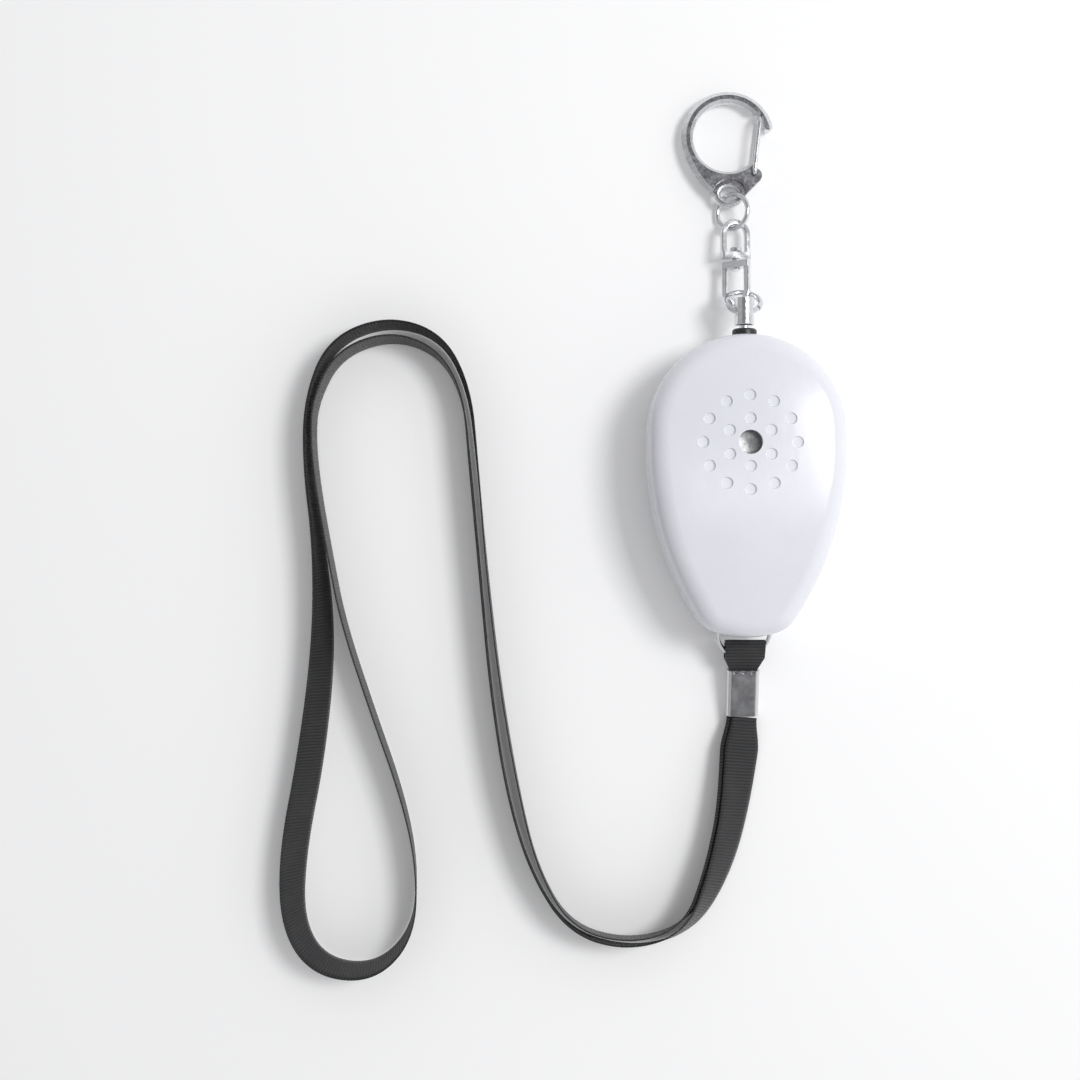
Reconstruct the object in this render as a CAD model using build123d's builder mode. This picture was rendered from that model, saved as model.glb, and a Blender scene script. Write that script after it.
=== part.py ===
from build123d import *
import math
import os

# Personal safety alarm with a pull pin, a swivel snap hook and a neck lanyard.
# Millimetres. The case lies on its flat back: z = 0 is the back face, +Z points out of
# the front face, +Y points towards the pull pin, and the sound hole's axis is x = y = 0.

# Case outline, an egg with its wide end towards the pull pin
CASE_HALF_WIDTH = 24.65
CASE_TOP = 27.4
CASE_LENGTH = 75.5
SHOULDER_LENGTH = 3.75
FLANK_RADIUS = 78.0
END_RADIUS = 24.0
END_CORNER = 8.0
# Case height, walls and rounding
CASE_HEIGHT = 23.0
PARTING = 11.5
WALL = 1.6
DRAFT = 3.0
FRONT_ROUNDING = 5.2
REAR_ROUNDING = 4.0
CROWN_RADIUS = 220.0
# Overlapping lip between the two shells
LIP_HEIGHT = 1.2
LIP_CLEARANCE = 0.1
# Fits
RUNNING = 0.05
LOOSE = 0.1
SEAT = 0.05

# Sound hole and blind dimples on the front face
SOUND_HOLE = 5.9
DIMPLE = 2.9
DIMPLE_DEPTH = 0.55
DIMPLE_FLARE = 0.15
INNER_DIMPLES = 6
INNER_DIMPLE_RING = 5.83
OUTER_DIMPLES = 12
OUTER_DIMPLE_RING = 11.5
# Sounder behind the sound hole
DISC_DIAMETER = 27.0
DISC_THICKNESS = 0.25
DISC_HEIGHT = 16.6
CERAMIC_DIAMETER = 18.0
GASKET_HEIGHT = 1.15
GASKET_WIDTH = 1.6
SOUNDER_WALL = 1.0

# Circuit board
BOARD_WIDTH = 29.0
BOARD_LENGTH = 25.0
BOARD_THICKNESS = 1.2
BOARD_HEIGHT = 5.4
BOARD_Y = -1.5
POST_RADIUS = 1.6
STAKE_RADIUS = 0.8
COIL_DIAMETER = 8.0
COIL_HEIGHT = 8.0

# Three button cells in a row, behind a screwed door
CELL_DIAMETER = 11.6
CELL_LENGTH = 5.3
CELL_GAP = 0.1
CELL_COUNT = 3
CELLS_Y = -24.0
SPRING_LENGTH = 4.0
PLATE_THICKNESS = 0.3
BAY_CLEARANCE = 0.3
BAY_WALL = 1.0
DOOR_HALF_WIDTH = 11.8
DOOR_TOP = -16.0
DOOR_BOTTOM = -35.6
DOOR_CORNER = 2.5
DOOR_SCREW_Y = -33.2

# Case screws, driven from the back
CASE_SCREWS = [(-17.4, 6.0), (17.4, 6.0), (-10.0, -37.2), (10.0, -37.2)]
SCREW_RADIUS = 1.0
SCREW_HEAD_RADIUS = 1.9
SCREW_HEAD_HEIGHT = 1.3
SCREW_LENGTH = 13.0
SCREW_SINK = 3.4
BOSS_RADIUS = 2.5

# Pull pin and its bushing
PIN_RADIUS = 1.2
PIN_TIP = 13.4
PIN_TAPER = 0.7
BUSH_RADIUS = 3.05
BUSH_FLANGE = 1.5
BUSH_NECK_RADIUS = 2.2
BUSH_SETBACK = 0.45
BARREL_RADIUS = 2.45
BARREL_START = 29.7
BARREL_END = 36.7
BARREL_ROUNDING = 0.5
CROSS_HOLE_Y = 33.45
CROSS_HOLE_RADIUS = 1.35
CROSS_HOLE_FLARE = 0.45
# Pin switch
SOCKET_START = 14.6
SOCKET_END = 24.2
SOCKET_HALF_WIDTH = 3.5
SOCKET_HALF_HEIGHT = 3.5
LEAF_THICKNESS = 0.2
LEAF_WIDTH = 2.4
LEAF_ROOT = 6.1
LEAF_TIP = 14.0
CONTACT_Y = 12.1
CONTACT_RADIUS = 0.8

# Chain between the pin and the hook
RING_1_WIRE = 1.4
RING_1_RADIUS = 4.45
RING_1_DROOP = 47.8
RING_1_REACH = 4.0
RING_1_GAP_AT = -40.0
RING_GAP = 7.0
AXIS_X = -1.28
AXIS_Y = 36.2
AXIS_Z = 6.0
AXIS_DROOP = 5.5
LINK_HALF_WIDTH = 2.95
LINK_BAR = 1.5
LINK_LENGTH = 10.0
LINK_PLATE = 1.7
LINK_PLATE_DEPTH = 2.4
LOWER_LINK_ROLL = 27.9
UPPER_LINK_ROLL = -10.5
UPPER_LINK_TOP = 57.25
UPPER_LINK_HALF_WIDTH = 3.1
SWIVEL_GAP = 0.7
RIVET_RADIUS = 0.6
RIVET_HEAD_RADIUS = 1.55
RIVET_HEAD = 1.1
RING_2_WIRE = 1.3
RING_2_RADIUS = 4.45
RING_2_TILT = 38.3
RING_2_CENTRE = (-1.99, 60.0, 3.74)
RING_2_GAP_AT = 213.0

# Snap hook
EYE = (-2.8, 64.5, 3.34)
HOOK_DROOP = 2.0
EYE_HALF_WIDTH = 2.2
EYE_HALF_HEIGHT = 1.65
EYE_RECESS = 2.05
EYE_SHOULDER = -0.5
EYE_BAR = 1.8
HOOK_THICKNESS = 2.9
HOOK_OUTER_RADIUS = 11.85
HOOK_MOUTH_RADIUS = 8.9
HOOK_BEVEL = 1.1
MOUTH_BEVEL = 0.8
MOUTH_RISE = 14.6
GATE_WIRE = 1.1
GATE_LENGTH = 14.8
GATE_LEAN = 6.0

# Strap ring, ribbon loop and crimp
STRAP_RING_WIRE = 1.1
STRAP_RING_BAR_Y = -43.4
STRAP_RING_RADIUS = 6.6
STRAP_RING_LEG = 4.1
STRAP_RING_DROOP = 24.0
STRAP_RING_CORNER = 1.4
SLOT_HALF_HEIGHT = 2.8
RIBBON_WIDTH = 10.0
RIBBON_THICKNESS = 0.5
CRIMP_X = 0.6
CRIMP_WIDTH = 8.1
CRIMP_THICKNESS = 3.8
CRIMP_LENGTH = 12.0
CRIMP_ROUNDING = 1.3
CRIMP_TOP = (-56.8, 4.9)
CRIMP_DROOP = 12.0

# Lanyard: a woven ribbon that stands on edge, one long loop out of the crimp and back
STRAP_THICKNESS = 0.6
STRAP_CLEARANCE = 0.1
STRAP_ROUTE = [
    (0.0, -69.2), (-1.6, -88.0), (-6.2, -107.2), (-14.1, -122.3), (-28.0, -126.4),
    (-43.0, -122.3), (-51.6, -107.6), (-56.2, -89.5), (-61.0, -62.5), (-64.6, -32.0),
    (-67.0, -4.0), (-69.0, 14.5), (-75.5, 27.5), (-89.5, 31.6), (-103.8, 25.8),
    (-110.2, 11.5), (-110.4, -5.5), (-107.2, -25.5), (-105.0, -50.5), (-108.2, -79.0),
    (-113.2, -104.5), (-114.8, -121.0), (-107.5, -131.5), (-93.5, -132.8), (-83.8, -122.5),
    (-83.2, -106.0), (-86.8, -88.5), (-94.8, -66.0), (-101.2, -44.5), (-104.6, -27.0),
    (-107.6, -10.0), (-108.8, 2.0), (-108.3, 11.5), (-102.8, 24.0), (-89.5, 29.0),
    (-77.3, 24.8), (-70.6, 13.0), (-69.0, -4.0), (-66.4, -32.0), (-63.6, -62.5),
    (-59.4, -89.0), (-53.4, -108.6), (-44.0, -123.9), (-28.0, -128.3), (-12.9, -123.8),
    (-4.9, -107.8), (-0.3, -88.0), (1.2, -69.2),
]
STRAP_TAPER_END = -90.0

os.makedirs("parts", exist_ok=True)


def direction(slope):
    """Unit vector along +Y that droops towards the table by slope degrees."""
    angle = math.radians(slope)
    return Vector(0, math.cos(angle), -math.sin(angle))


def polar(radius, degrees):
    """Point at a radius and an angle in a plane."""
    angle = math.radians(degrees)
    return (radius * math.cos(angle), radius * math.sin(angle))


# Case

TOP_CENTRE = CASE_TOP - CASE_HALF_WIDTH
FLANK_START = TOP_CENTRE - SHOULDER_LENGTH
CASE_BOTTOM = CASE_TOP - CASE_LENGTH


def case_outline(inset):
    """Egg outline moved inward by inset, as arcs about fixed centres."""
    half_width = CASE_HALF_WIDTH - inset
    flank_x = CASE_HALF_WIDTH - FLANK_RADIUS
    flank = FLANK_RADIUS - inset
    end_y = CASE_BOTTOM + END_RADIUS
    end = END_RADIUS - inset
    # Where the flank's circle meets the end's circle
    gap_x = flank_x
    gap_y = FLANK_START - end_y
    gap = math.hypot(gap_x, gap_y)
    along = (gap**2 + end**2 - flank**2) / (2 * gap)
    across = math.sqrt(end**2 - along**2)
    corner_x = (gap_x * along - gap_y * across) / gap
    corner_y = end_y + (gap_y * along + gap_x * across) / gap
    sweep_flank = math.degrees(math.atan2(corner_y - FLANK_START, corner_x - flank_x))
    with BuildSketch() as outline:
        with BuildLine():
            CenterArc((0, TOP_CENTRE), half_width, 0, 180)
            for side in (1, -1):
                Line((side * half_width, TOP_CENTRE), (side * half_width, FLANK_START))
                middle = polar(flank, sweep_flank / 2)
                ThreePointArc(
                    (side * half_width, FLANK_START),
                    (side * (flank_x + middle[0]), FLANK_START + middle[1]),
                    (side * corner_x, corner_y),
                )
            ThreePointArc((-corner_x, corner_y), (0, end_y - end), (corner_x, corner_y))
        make_face()
        fillet(outline.vertices().sort_by(Axis.Y)[:2], END_CORNER - inset)
    return outline.sketch


CROWN_Y = CASE_TOP - CASE_LENGTH / 2


def crown_drop(x, y):
    """How far the crowned front lies below its highest point."""
    return CROWN_RADIUS - math.sqrt(CROWN_RADIUS**2 - x**2 - (y - CROWN_Y) ** 2)


def front_form(inset):
    """Solid front half of the case, moved inward by inset."""
    with BuildPart() as form:
        with BuildSketch(Plane.XY.offset(PARTING)):
            add(case_outline(inset))
        extrude(amount=CASE_HEIGHT - PARTING + 1)
        draft(form.faces() - form.faces().filter_by(Axis.Z), Plane.XY.offset(PARTING), DRAFT)
        with Locations((0, CROWN_Y, CASE_HEIGHT - inset - CROWN_RADIUS)):
            Sphere(CROWN_RADIUS, mode=Mode.INTERSECT)
        rim = form.faces().sort_by(Axis.Z)[-1].edges()
        fillet(rim, FRONT_ROUNDING - inset)
    return form.part


def rear_form(inset):
    """Solid rear half of the case, moved inward by inset."""
    with BuildPart() as form:
        with BuildSketch(Plane.XY.offset(PARTING)):
            add(case_outline(inset))
        extrude(amount=-(PARTING - inset))
        draft(form.faces() - form.faces().filter_by(Axis.Z), Plane.XY.offset(PARTING), -DRAFT)
        rim = form.faces().sort_by(Axis.Z)[0].edges()
        fillet(rim, REAR_ROUNDING - inset)
    return form.part


def lip_ring(outer_inset, inner_inset, low, high):
    """Ring that follows the case outline between two insets."""
    with BuildPart() as ring:
        with BuildSketch(Plane.XY.offset(low)):
            add(case_outline(outer_inset))
        extrude(amount=high - low)
        with BuildSketch(Plane.XY.offset(low)):
            add(case_outline(inner_inset))
        extrude(amount=high - low, mode=Mode.SUBTRACT)
    return ring.part


def end_openings():
    """What is cut from both shells: the bushing's hole and the strap ring's two slots."""
    with BuildPart() as openings:
        with BuildSketch(Plane.XZ.offset(-(CASE_TOP - 3 * WALL))):
            with Locations((0, PARTING)):
                Circle(BUSH_NECK_RADIUS + SEAT)
        extrude(amount=-6 * WALL)
        slot_width = STRAP_RING_WIRE + 4 * LOOSE
        with Locations((0, CASE_BOTTOM, PARTING)):
            with GridLocations(2 * STRAP_RING_RADIUS, 1, 2, 1):
                Box(slot_width, 6 * WALL, 2 * SLOT_HALF_HEIGHT)
    return openings.part


DISC_RADIUS = DISC_DIAMETER / 2
SOUNDER_INSIDE = DISC_RADIUS + 0.2
SOUNDER_OUTSIDE = SOUNDER_INSIDE + SOUNDER_WALL
GASKET_BASE = DISC_HEIGHT + DISC_THICKNESS
GASKET_TOP = GASKET_BASE + GASKET_HEIGHT
SOUNDER_RIM = DISC_HEIGHT - 1.0
RIB_XS = (-3.2, 3.2)
RIB_THICKNESS = 1.2
RIB_TOP_Y = STRAP_RING_BAR_Y + 2.6
BOSS_GAP = 0.1

front_inner = front_form(WALL)
rear_inner = rear_form(WALL)

# Sound hole, and blind dimples that each sink the same depth below the crowned face
dimple_spots = [(INNER_DIMPLE_RING, 30 + 60 * step) for step in range(INNER_DIMPLES)]
dimple_spots += [(OUTER_DIMPLE_RING, 30 * step) for step in range(OUTER_DIMPLES)]
with BuildPart() as face_holes:
    with Locations((0, 0, PARTING)):
        Cylinder(SOUND_HOLE / 2, CASE_HEIGHT, align=(Align.CENTER, Align.CENTER, Align.MIN))
    for ring_radius, at in dimple_spots:
        spot_x, spot_y = polar(ring_radius, at)
        face_height = CASE_HEIGHT - crown_drop(spot_x, spot_y)
        with Locations((spot_x, spot_y, face_height - DIMPLE_DEPTH)):
            Cone(
                DIMPLE / 2 - DIMPLE_FLARE,
                DIMPLE / 2 + DIMPLE_FLARE,
                2 * DIMPLE_DEPTH,
                align=(Align.CENTER, Align.CENTER, Align.MIN),
            )

with BuildPart() as front_fittings:
    # Two-step seat for the sounder
    with BuildSketch(Plane.XY.offset(SOUNDER_RIM)):
        Circle(SOUNDER_OUTSIDE)
        Circle(SOUNDER_INSIDE, mode=Mode.SUBTRACT)
    extrude(amount=CASE_HEIGHT - SOUNDER_RIM)
    with BuildSketch(Plane.XY.offset(GASKET_TOP)):
        Circle(SOUNDER_OUTSIDE)
        Circle(DISC_RADIUS - GASKET_WIDTH, mode=Mode.SUBTRACT)
    extrude(amount=CASE_HEIGHT - GASKET_TOP)
    # Screw bosses with pilot holes
    with BuildSketch(Plane.XY.offset(PARTING + BOSS_GAP)):
        with Locations(*CASE_SCREWS):
            Circle(BOSS_RADIUS)
            Circle(SCREW_RADIUS, mode=Mode.SUBTRACT)
    extrude(amount=CASE_HEIGHT - PARTING)
    # Ribs that hold the strap ring's bar down
    for rib_x in RIB_XS:
        with Locations((rib_x, (CASE_BOTTOM + RIB_TOP_Y) / 2, (PARTING + CASE_HEIGHT) / 2)):
            Box(RIB_THICKNESS, RIB_TOP_Y - CASE_BOTTOM, CASE_HEIGHT - PARTING)
    with BuildSketch(Plane.YZ):
        with Locations((STRAP_RING_BAR_Y, PARTING)):
            Circle(STRAP_RING_WIRE / 2 + LOOSE)
    extrude(amount=CASE_HALF_WIDTH, both=True, mode=Mode.SUBTRACT)
    add(front_inner, mode=Mode.INTERSECT)

with BuildPart() as front_shell:
    add(front_form(0))
    add(front_inner, mode=Mode.SUBTRACT)
    # Lip that drops inside the rear shell's rebate
    add(lip_ring(WALL / 2 + LIP_CLEARANCE, WALL, PARTING - LIP_HEIGHT, PARTING))
    add(front_fittings.part)
    add(end_openings(), mode=Mode.SUBTRACT)
    add(face_holes.part, mode=Mode.SUBTRACT)
front_shell.part.label = "front_shell"
export_step(front_shell.part, "parts/front_shell.step")

CELL_RADIUS = CELL_DIAMETER / 2
CELLS_Z = WALL + BAY_CLEARANCE + CELL_RADIUS
CELLS_LENGTH = CELL_COUNT * CELL_LENGTH + (CELL_COUNT - 1) * CELL_GAP
BAY_INNER_LENGTH = CELLS_LENGTH + SPRING_LENGTH + PLATE_THICKNESS + 2 * CELL_GAP
BAY_LEFT = -BAY_INNER_LENGTH / 2
BAY_HALF_WIDTH = CELL_RADIUS + BAY_CLEARANCE
BAY_ROOF = CELLS_Z + CELL_RADIUS + LOOSE
BOARD_TOP = BOARD_HEIGHT + BOARD_THICKNESS
DOOR_MIDDLE = (DOOR_TOP + DOOR_BOTTOM) / 2
LEDGE_REACH = 2.4
LEDGE_THICKNESS = 1.5
TAB_WIDTH = 6.0
TAB_REACH = 1.2
TAB_DEPTH = 2.0
TAB_HEIGHT = 1.0
TAB_MIDDLE = DOOR_TOP + TAB_REACH - TAB_DEPTH / 2
POST_XS = BOARD_WIDTH - 5.0
POST_YS = BOARD_LENGTH - 6.0

with BuildPart() as rear_fittings:
    # Sleeves for the case screws
    with BuildSketch():
        with Locations(*CASE_SCREWS):
            Circle(BOSS_RADIUS)
    extrude(amount=PARTING)
    # Posts with stakes for the circuit board
    with BuildSketch():
        with Locations((0, BOARD_Y)):
            with GridLocations(POST_XS, POST_YS, 2, 2):
                Circle(POST_RADIUS)
    extrude(amount=BOARD_HEIGHT)
    with BuildSketch():
        with Locations((0, BOARD_Y)):
            with GridLocations(POST_XS, POST_YS, 2, 2):
                Circle(STAKE_RADIUS)
    extrude(amount=BOARD_TOP + 0.4)
    # Boss for the door screw
    with BuildSketch():
        with Locations((0, DOOR_SCREW_Y)):
            Circle(BOSS_RADIUS)
    extrude(amount=PARTING - 2 * WALL)
    # Cradle for the pin socket
    cradle_y = (SOCKET_START + SOCKET_END) / 2
    with Locations((0, cradle_y, (PARTING - SOCKET_HALF_HEIGHT) / 2)):
        Box(2 * SOCKET_HALF_WIDTH, 5.0, PARTING - SOCKET_HALF_HEIGHT)
    # Ribs under the strap ring's bar
    for rib_x in RIB_XS:
        with Locations((rib_x, (CASE_BOTTOM + RIB_TOP_Y) / 2, PARTING / 2)):
            Box(RIB_THICKNESS, RIB_TOP_Y - CASE_BOTTOM, PARTING)
    with BuildSketch(Plane.YZ):
        with Locations((STRAP_RING_BAR_Y, PARTING)):
            Circle(STRAP_RING_WIRE / 2 + LOOSE)
    extrude(amount=CASE_HALF_WIDTH, both=True, mode=Mode.SUBTRACT)
    add(rear_inner, mode=Mode.INTERSECT)

with BuildPart() as rear_shell:
    add(rear_form(0))
    add(rear_inner, mode=Mode.SUBTRACT)
    # Rebate for the front shell's lip
    add(
        lip_ring(WALL / 2, WALL + LIP_CLEARANCE, PARTING - LIP_HEIGHT - LIP_CLEARANCE, PARTING + 1),
        mode=Mode.SUBTRACT,
    )
    add(rear_fittings.part)
    # Ledge behind the battery door
    with BuildSketch(Plane.XY.offset(WALL)):
        with Locations((0, DOOR_MIDDLE)):
            Rectangle(
                2 * (DOOR_HALF_WIDTH + LEDGE_REACH), DOOR_TOP - DOOR_BOTTOM + 2 * LEDGE_REACH
            )
    extrude(amount=LEDGE_THICKNESS)
    # Battery bay with a roof, open to the back
    with BuildSketch(Plane.XY.offset(WALL)):
        with Locations((0, CELLS_Y)):
            Rectangle(BAY_INNER_LENGTH + 2 * BAY_WALL, 2 * (BAY_HALF_WIDTH + BAY_WALL))
    extrude(amount=BAY_ROOF + BAY_WALL - WALL)
    with BuildSketch():
        with Locations((0, CELLS_Y)):
            Rectangle(BAY_INNER_LENGTH, 2 * BAY_HALF_WIDTH)
    extrude(amount=BAY_ROOF, mode=Mode.SUBTRACT)
    # Opening for the battery door, through the wall, and pockets for its tabs
    with BuildSketch():
        with Locations((0, DOOR_MIDDLE)):
            RectangleRounded(
                2 * (DOOR_HALF_WIDTH + LOOSE), DOOR_TOP - DOOR_BOTTOM + 2 * LOOSE, DOOR_CORNER
            )
    extrude(amount=WALL, mode=Mode.SUBTRACT)
    with Locations((0, TAB_MIDDLE, WALL)):
        with GridLocations(2 * TAB_WIDTH, 1, 2, 1):
            Box(
                TAB_WIDTH + 2 * LOOSE,
                TAB_DEPTH + 2 * LOOSE,
                TAB_HEIGHT + 2 * LOOSE,
                align=(Align.CENTER, Align.CENTER, Align.MIN),
                mode=Mode.SUBTRACT,
            )
    # Screw holes: pilot for the door, counterbored sleeves for the case screws
    with BuildSketch():
        with Locations((0, DOOR_SCREW_Y)):
            Circle(SCREW_RADIUS)
    extrude(amount=PARTING - 3 * WALL, mode=Mode.SUBTRACT)
    with Locations(*[(x, y, 0) for x, y in CASE_SCREWS]):
        Cylinder(
            SCREW_RADIUS + LOOSE,
            PARTING + 1,
            align=(Align.CENTER, Align.CENTER, Align.MIN),
            mode=Mode.SUBTRACT,
        )
        Cylinder(
            SCREW_HEAD_RADIUS + LOOSE,
            SCREW_SINK,
            align=(Align.CENTER, Align.CENTER, Align.MIN),
            mode=Mode.SUBTRACT,
        )
    add(end_openings(), mode=Mode.SUBTRACT)
rear_shell.part.label = "rear_shell"
export_step(rear_shell.part, "parts/rear_shell.step")


# Battery door and its screw

with BuildPart() as battery_door:
    with BuildSketch():
        with Locations((0, DOOR_MIDDLE)):
            RectangleRounded(2 * DOOR_HALF_WIDTH, DOOR_TOP - DOOR_BOTTOM, DOOR_CORNER)
    extrude(amount=WALL)
    # Two tabs that catch behind the case wall
    with Locations((0, TAB_MIDDLE, WALL + LOOSE)):
        with GridLocations(2 * TAB_WIDTH, 1, 2, 1):
            Box(TAB_WIDTH, TAB_DEPTH, TAB_HEIGHT, align=(Align.CENTER, Align.CENTER, Align.MIN))
    with Locations((0, (TAB_MIDDLE - TAB_DEPTH / 2 + DOOR_TOP) / 2, WALL - LOOSE)):
        with GridLocations(2 * TAB_WIDTH, 1, 2, 1):
            Box(
                TAB_WIDTH,
                TAB_DEPTH - TAB_REACH,
                4 * LOOSE,
                align=(Align.CENTER, Align.CENTER, Align.MIN),
            )
    # Coin grip grooves and the screw's counterbore on the outside
    for groove in range(3):
        with Locations((0, DOOR_TOP - 3.0 - 1.8 * groove, 0)):
            Box(9.0, 0.7, 1.0, mode=Mode.SUBTRACT)
    with Locations((0, DOOR_SCREW_Y, 0)):
        Cylinder(
            SCREW_RADIUS + LOOSE,
            WALL,
            align=(Align.CENTER, Align.CENTER, Align.MIN),
            mode=Mode.SUBTRACT,
        )
        Cylinder(
            SCREW_HEAD_RADIUS + LOOSE,
            0.8,
            align=(Align.CENTER, Align.CENTER, Align.MIN),
            mode=Mode.SUBTRACT,
        )
battery_door.part.label = "battery_door"
export_step(battery_door.part, "parts/battery_door.step")


def build_screw(x, y, base, length, head):
    """Pan-head screw at a place on the back, its head's top at height base."""
    with BuildPart() as screw:
        with BuildSketch(Plane.XY.offset(base)):
            with Locations((x, y)):
                Circle(SCREW_HEAD_RADIUS)
        extrude(amount=head)
        with BuildSketch(Plane.XY.offset(base)):
            with Locations((x, y)):
                Circle(SCREW_RADIUS - 0.02)
        extrude(amount=length)
        # Cross recess
        with Locations((x, y, base)):
            Box(2.2, 0.5, 1.0, mode=Mode.SUBTRACT)
            Box(0.5, 2.2, 1.0, mode=Mode.SUBTRACT)
    return screw.part


with BuildPart() as battery_door_screw:
    add(build_screw(0, DOOR_SCREW_Y, 0.1, 6.0, 0.7))
battery_door_screw.part.label = "battery_door_screw"
export_step(battery_door_screw.part, "parts/battery_door_screw.step")

with BuildPart() as housing_screws:
    for screw_x, screw_y in CASE_SCREWS:
        add(
            build_screw(
                screw_x, screw_y, SCREW_SINK - SCREW_HEAD_HEIGHT, SCREW_LENGTH, SCREW_HEAD_HEIGHT
            )
        )
housing_screws.part.label = "housing_screws"
export_step(housing_screws.part, "parts/housing_screws.step")


# Sounder

with BuildPart() as sounder_disc:
    with BuildSketch(Plane.XY.offset(DISC_HEIGHT)):
        Circle(DISC_RADIUS)
    extrude(amount=DISC_THICKNESS)
sounder_disc.part.label = "sounder_disc"
export_step(sounder_disc.part, "parts/sounder_disc.step")

with BuildPart() as piezo_ceramic:
    with BuildSketch(Plane.XY.offset(DISC_HEIGHT)):
        Circle(CERAMIC_DIAMETER / 2)
    extrude(amount=-DISC_THICKNESS)
piezo_ceramic.part.label = "piezo_ceramic"
export_step(piezo_ceramic.part, "parts/piezo_ceramic.step")

with BuildPart() as sounder_gasket:
    with BuildSketch(Plane.XY.offset(GASKET_BASE)):
        Circle(DISC_RADIUS)
        Circle(DISC_RADIUS - GASKET_WIDTH, mode=Mode.SUBTRACT)
    extrude(amount=GASKET_HEIGHT)
sounder_gasket.part.label = "sounder_gasket"
export_step(sounder_gasket.part, "parts/sounder_gasket.step")


# Circuit board and what is soldered to it

with BuildPart() as circuit_board:
    with BuildSketch(Plane.XY.offset(BOARD_HEIGHT)):
        with Locations((0, BOARD_Y)):
            RectangleRounded(BOARD_WIDTH, BOARD_LENGTH, 2.0)
            with GridLocations(POST_XS, POST_YS, 2, 2):
                Circle(STAKE_RADIUS + SEAT, mode=Mode.SUBTRACT)
    extrude(amount=BOARD_THICKNESS)
circuit_board.part.label = "circuit_board"
export_step(circuit_board.part, "parts/circuit_board.step")

with BuildPart() as control_chip:
    with Locations((-6.0, -5.0, BOARD_TOP)):
        Box(4.0, 5.0, 1.5, align=(Align.CENTER, Align.CENTER, Align.MIN))
    for side in (-1, 1):
        with Locations((-6.0 + side * 2.5, -5.0, BOARD_TOP)):
            with GridLocations(1, 1.27, 1, 4):
                Box(1.2, 0.4, 0.6, align=(Align.CENTER, Align.CENTER, Align.MIN))
control_chip.part.label = "control_chip"
export_step(control_chip.part, "parts/control_chip.step")

with BuildPart() as step_up_coil:
    with BuildSketch(Plane.XZ):
        with BuildLine():
            Polyline(
                (0, BOARD_TOP),
                (COIL_DIAMETER / 2, BOARD_TOP),
                (COIL_DIAMETER / 2, BOARD_TOP + 1),
                (COIL_DIAMETER / 2 - 0.8, BOARD_TOP + 1),
                (COIL_DIAMETER / 2 - 0.8, BOARD_TOP + COIL_HEIGHT - 1),
                (COIL_DIAMETER / 2, BOARD_TOP + COIL_HEIGHT - 1),
                (COIL_DIAMETER / 2, BOARD_TOP + COIL_HEIGHT),
                (0, BOARD_TOP + COIL_HEIGHT),
                close=True,
            )
        make_face()
    revolve(axis=Axis.Z)
step_up_coil.part.position = (7.0, -6.5, 0)
step_up_coil.part.label = "step_up_coil"
export_step(step_up_coil.part, "parts/step_up_coil.step")

with BuildPart() as board_components:
    # Transistor, capacitor and two resistors
    with Locations((0.0, -9.5, BOARD_TOP)):
        Box(4.4, 3.4, 4.6, align=(Align.CENTER, Align.CENTER, Align.MIN))
    with Locations((-9.5, 2.0, BOARD_TOP)):
        Cylinder(2.0, 5.0, align=(Align.CENTER, Align.CENTER, Align.MIN))
    for resistor_y in (0.5, 3.5):
        with Locations((6.5, resistor_y, BOARD_TOP)):
            Box(6.0, 1.8, 1.8, align=(Align.CENTER, Align.CENTER, Align.MIN))
board_components.part.label = "board_components"
export_step(board_components.part, "parts/board_components.step")


# Battery cells and contacts

with BuildPart() as battery_cells:
    for cell in range(CELL_COUNT):
        cell_x = BAY_LEFT + PLATE_THICKNESS + CELL_GAP + cell * (CELL_LENGTH + CELL_GAP)
        with BuildSketch(Plane.YZ.offset(cell_x)):
            with Locations((CELLS_Y, CELLS_Z)):
                Circle(CELL_RADIUS - 1.0)
        extrude(amount=CELL_LENGTH)
        with BuildSketch(Plane.YZ.offset(cell_x)):
            with Locations((CELLS_Y, CELLS_Z)):
                Circle(CELL_RADIUS)
        extrude(amount=CELL_LENGTH - 0.4)
battery_cells.part.label = "battery_cells"
export_step(battery_cells.part, "parts/battery_cells.step")

with BuildPart() as battery_plate:
    with Locations((BAY_LEFT, CELLS_Y, CELLS_Z)):
        Box(PLATE_THICKNESS, 9.0, 9.5, align=(Align.MIN, Align.CENTER, Align.CENTER))
battery_plate.part.label = "battery_plate"
export_step(battery_plate.part, "parts/battery_plate.step")

SPRING_SHEET = 0.3
SPRING_SPAN = 8.0
SPRING_WIDTH = 4.0
SPRING_BASE_X = BAY_LEFT + BAY_INNER_LENGTH

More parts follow.
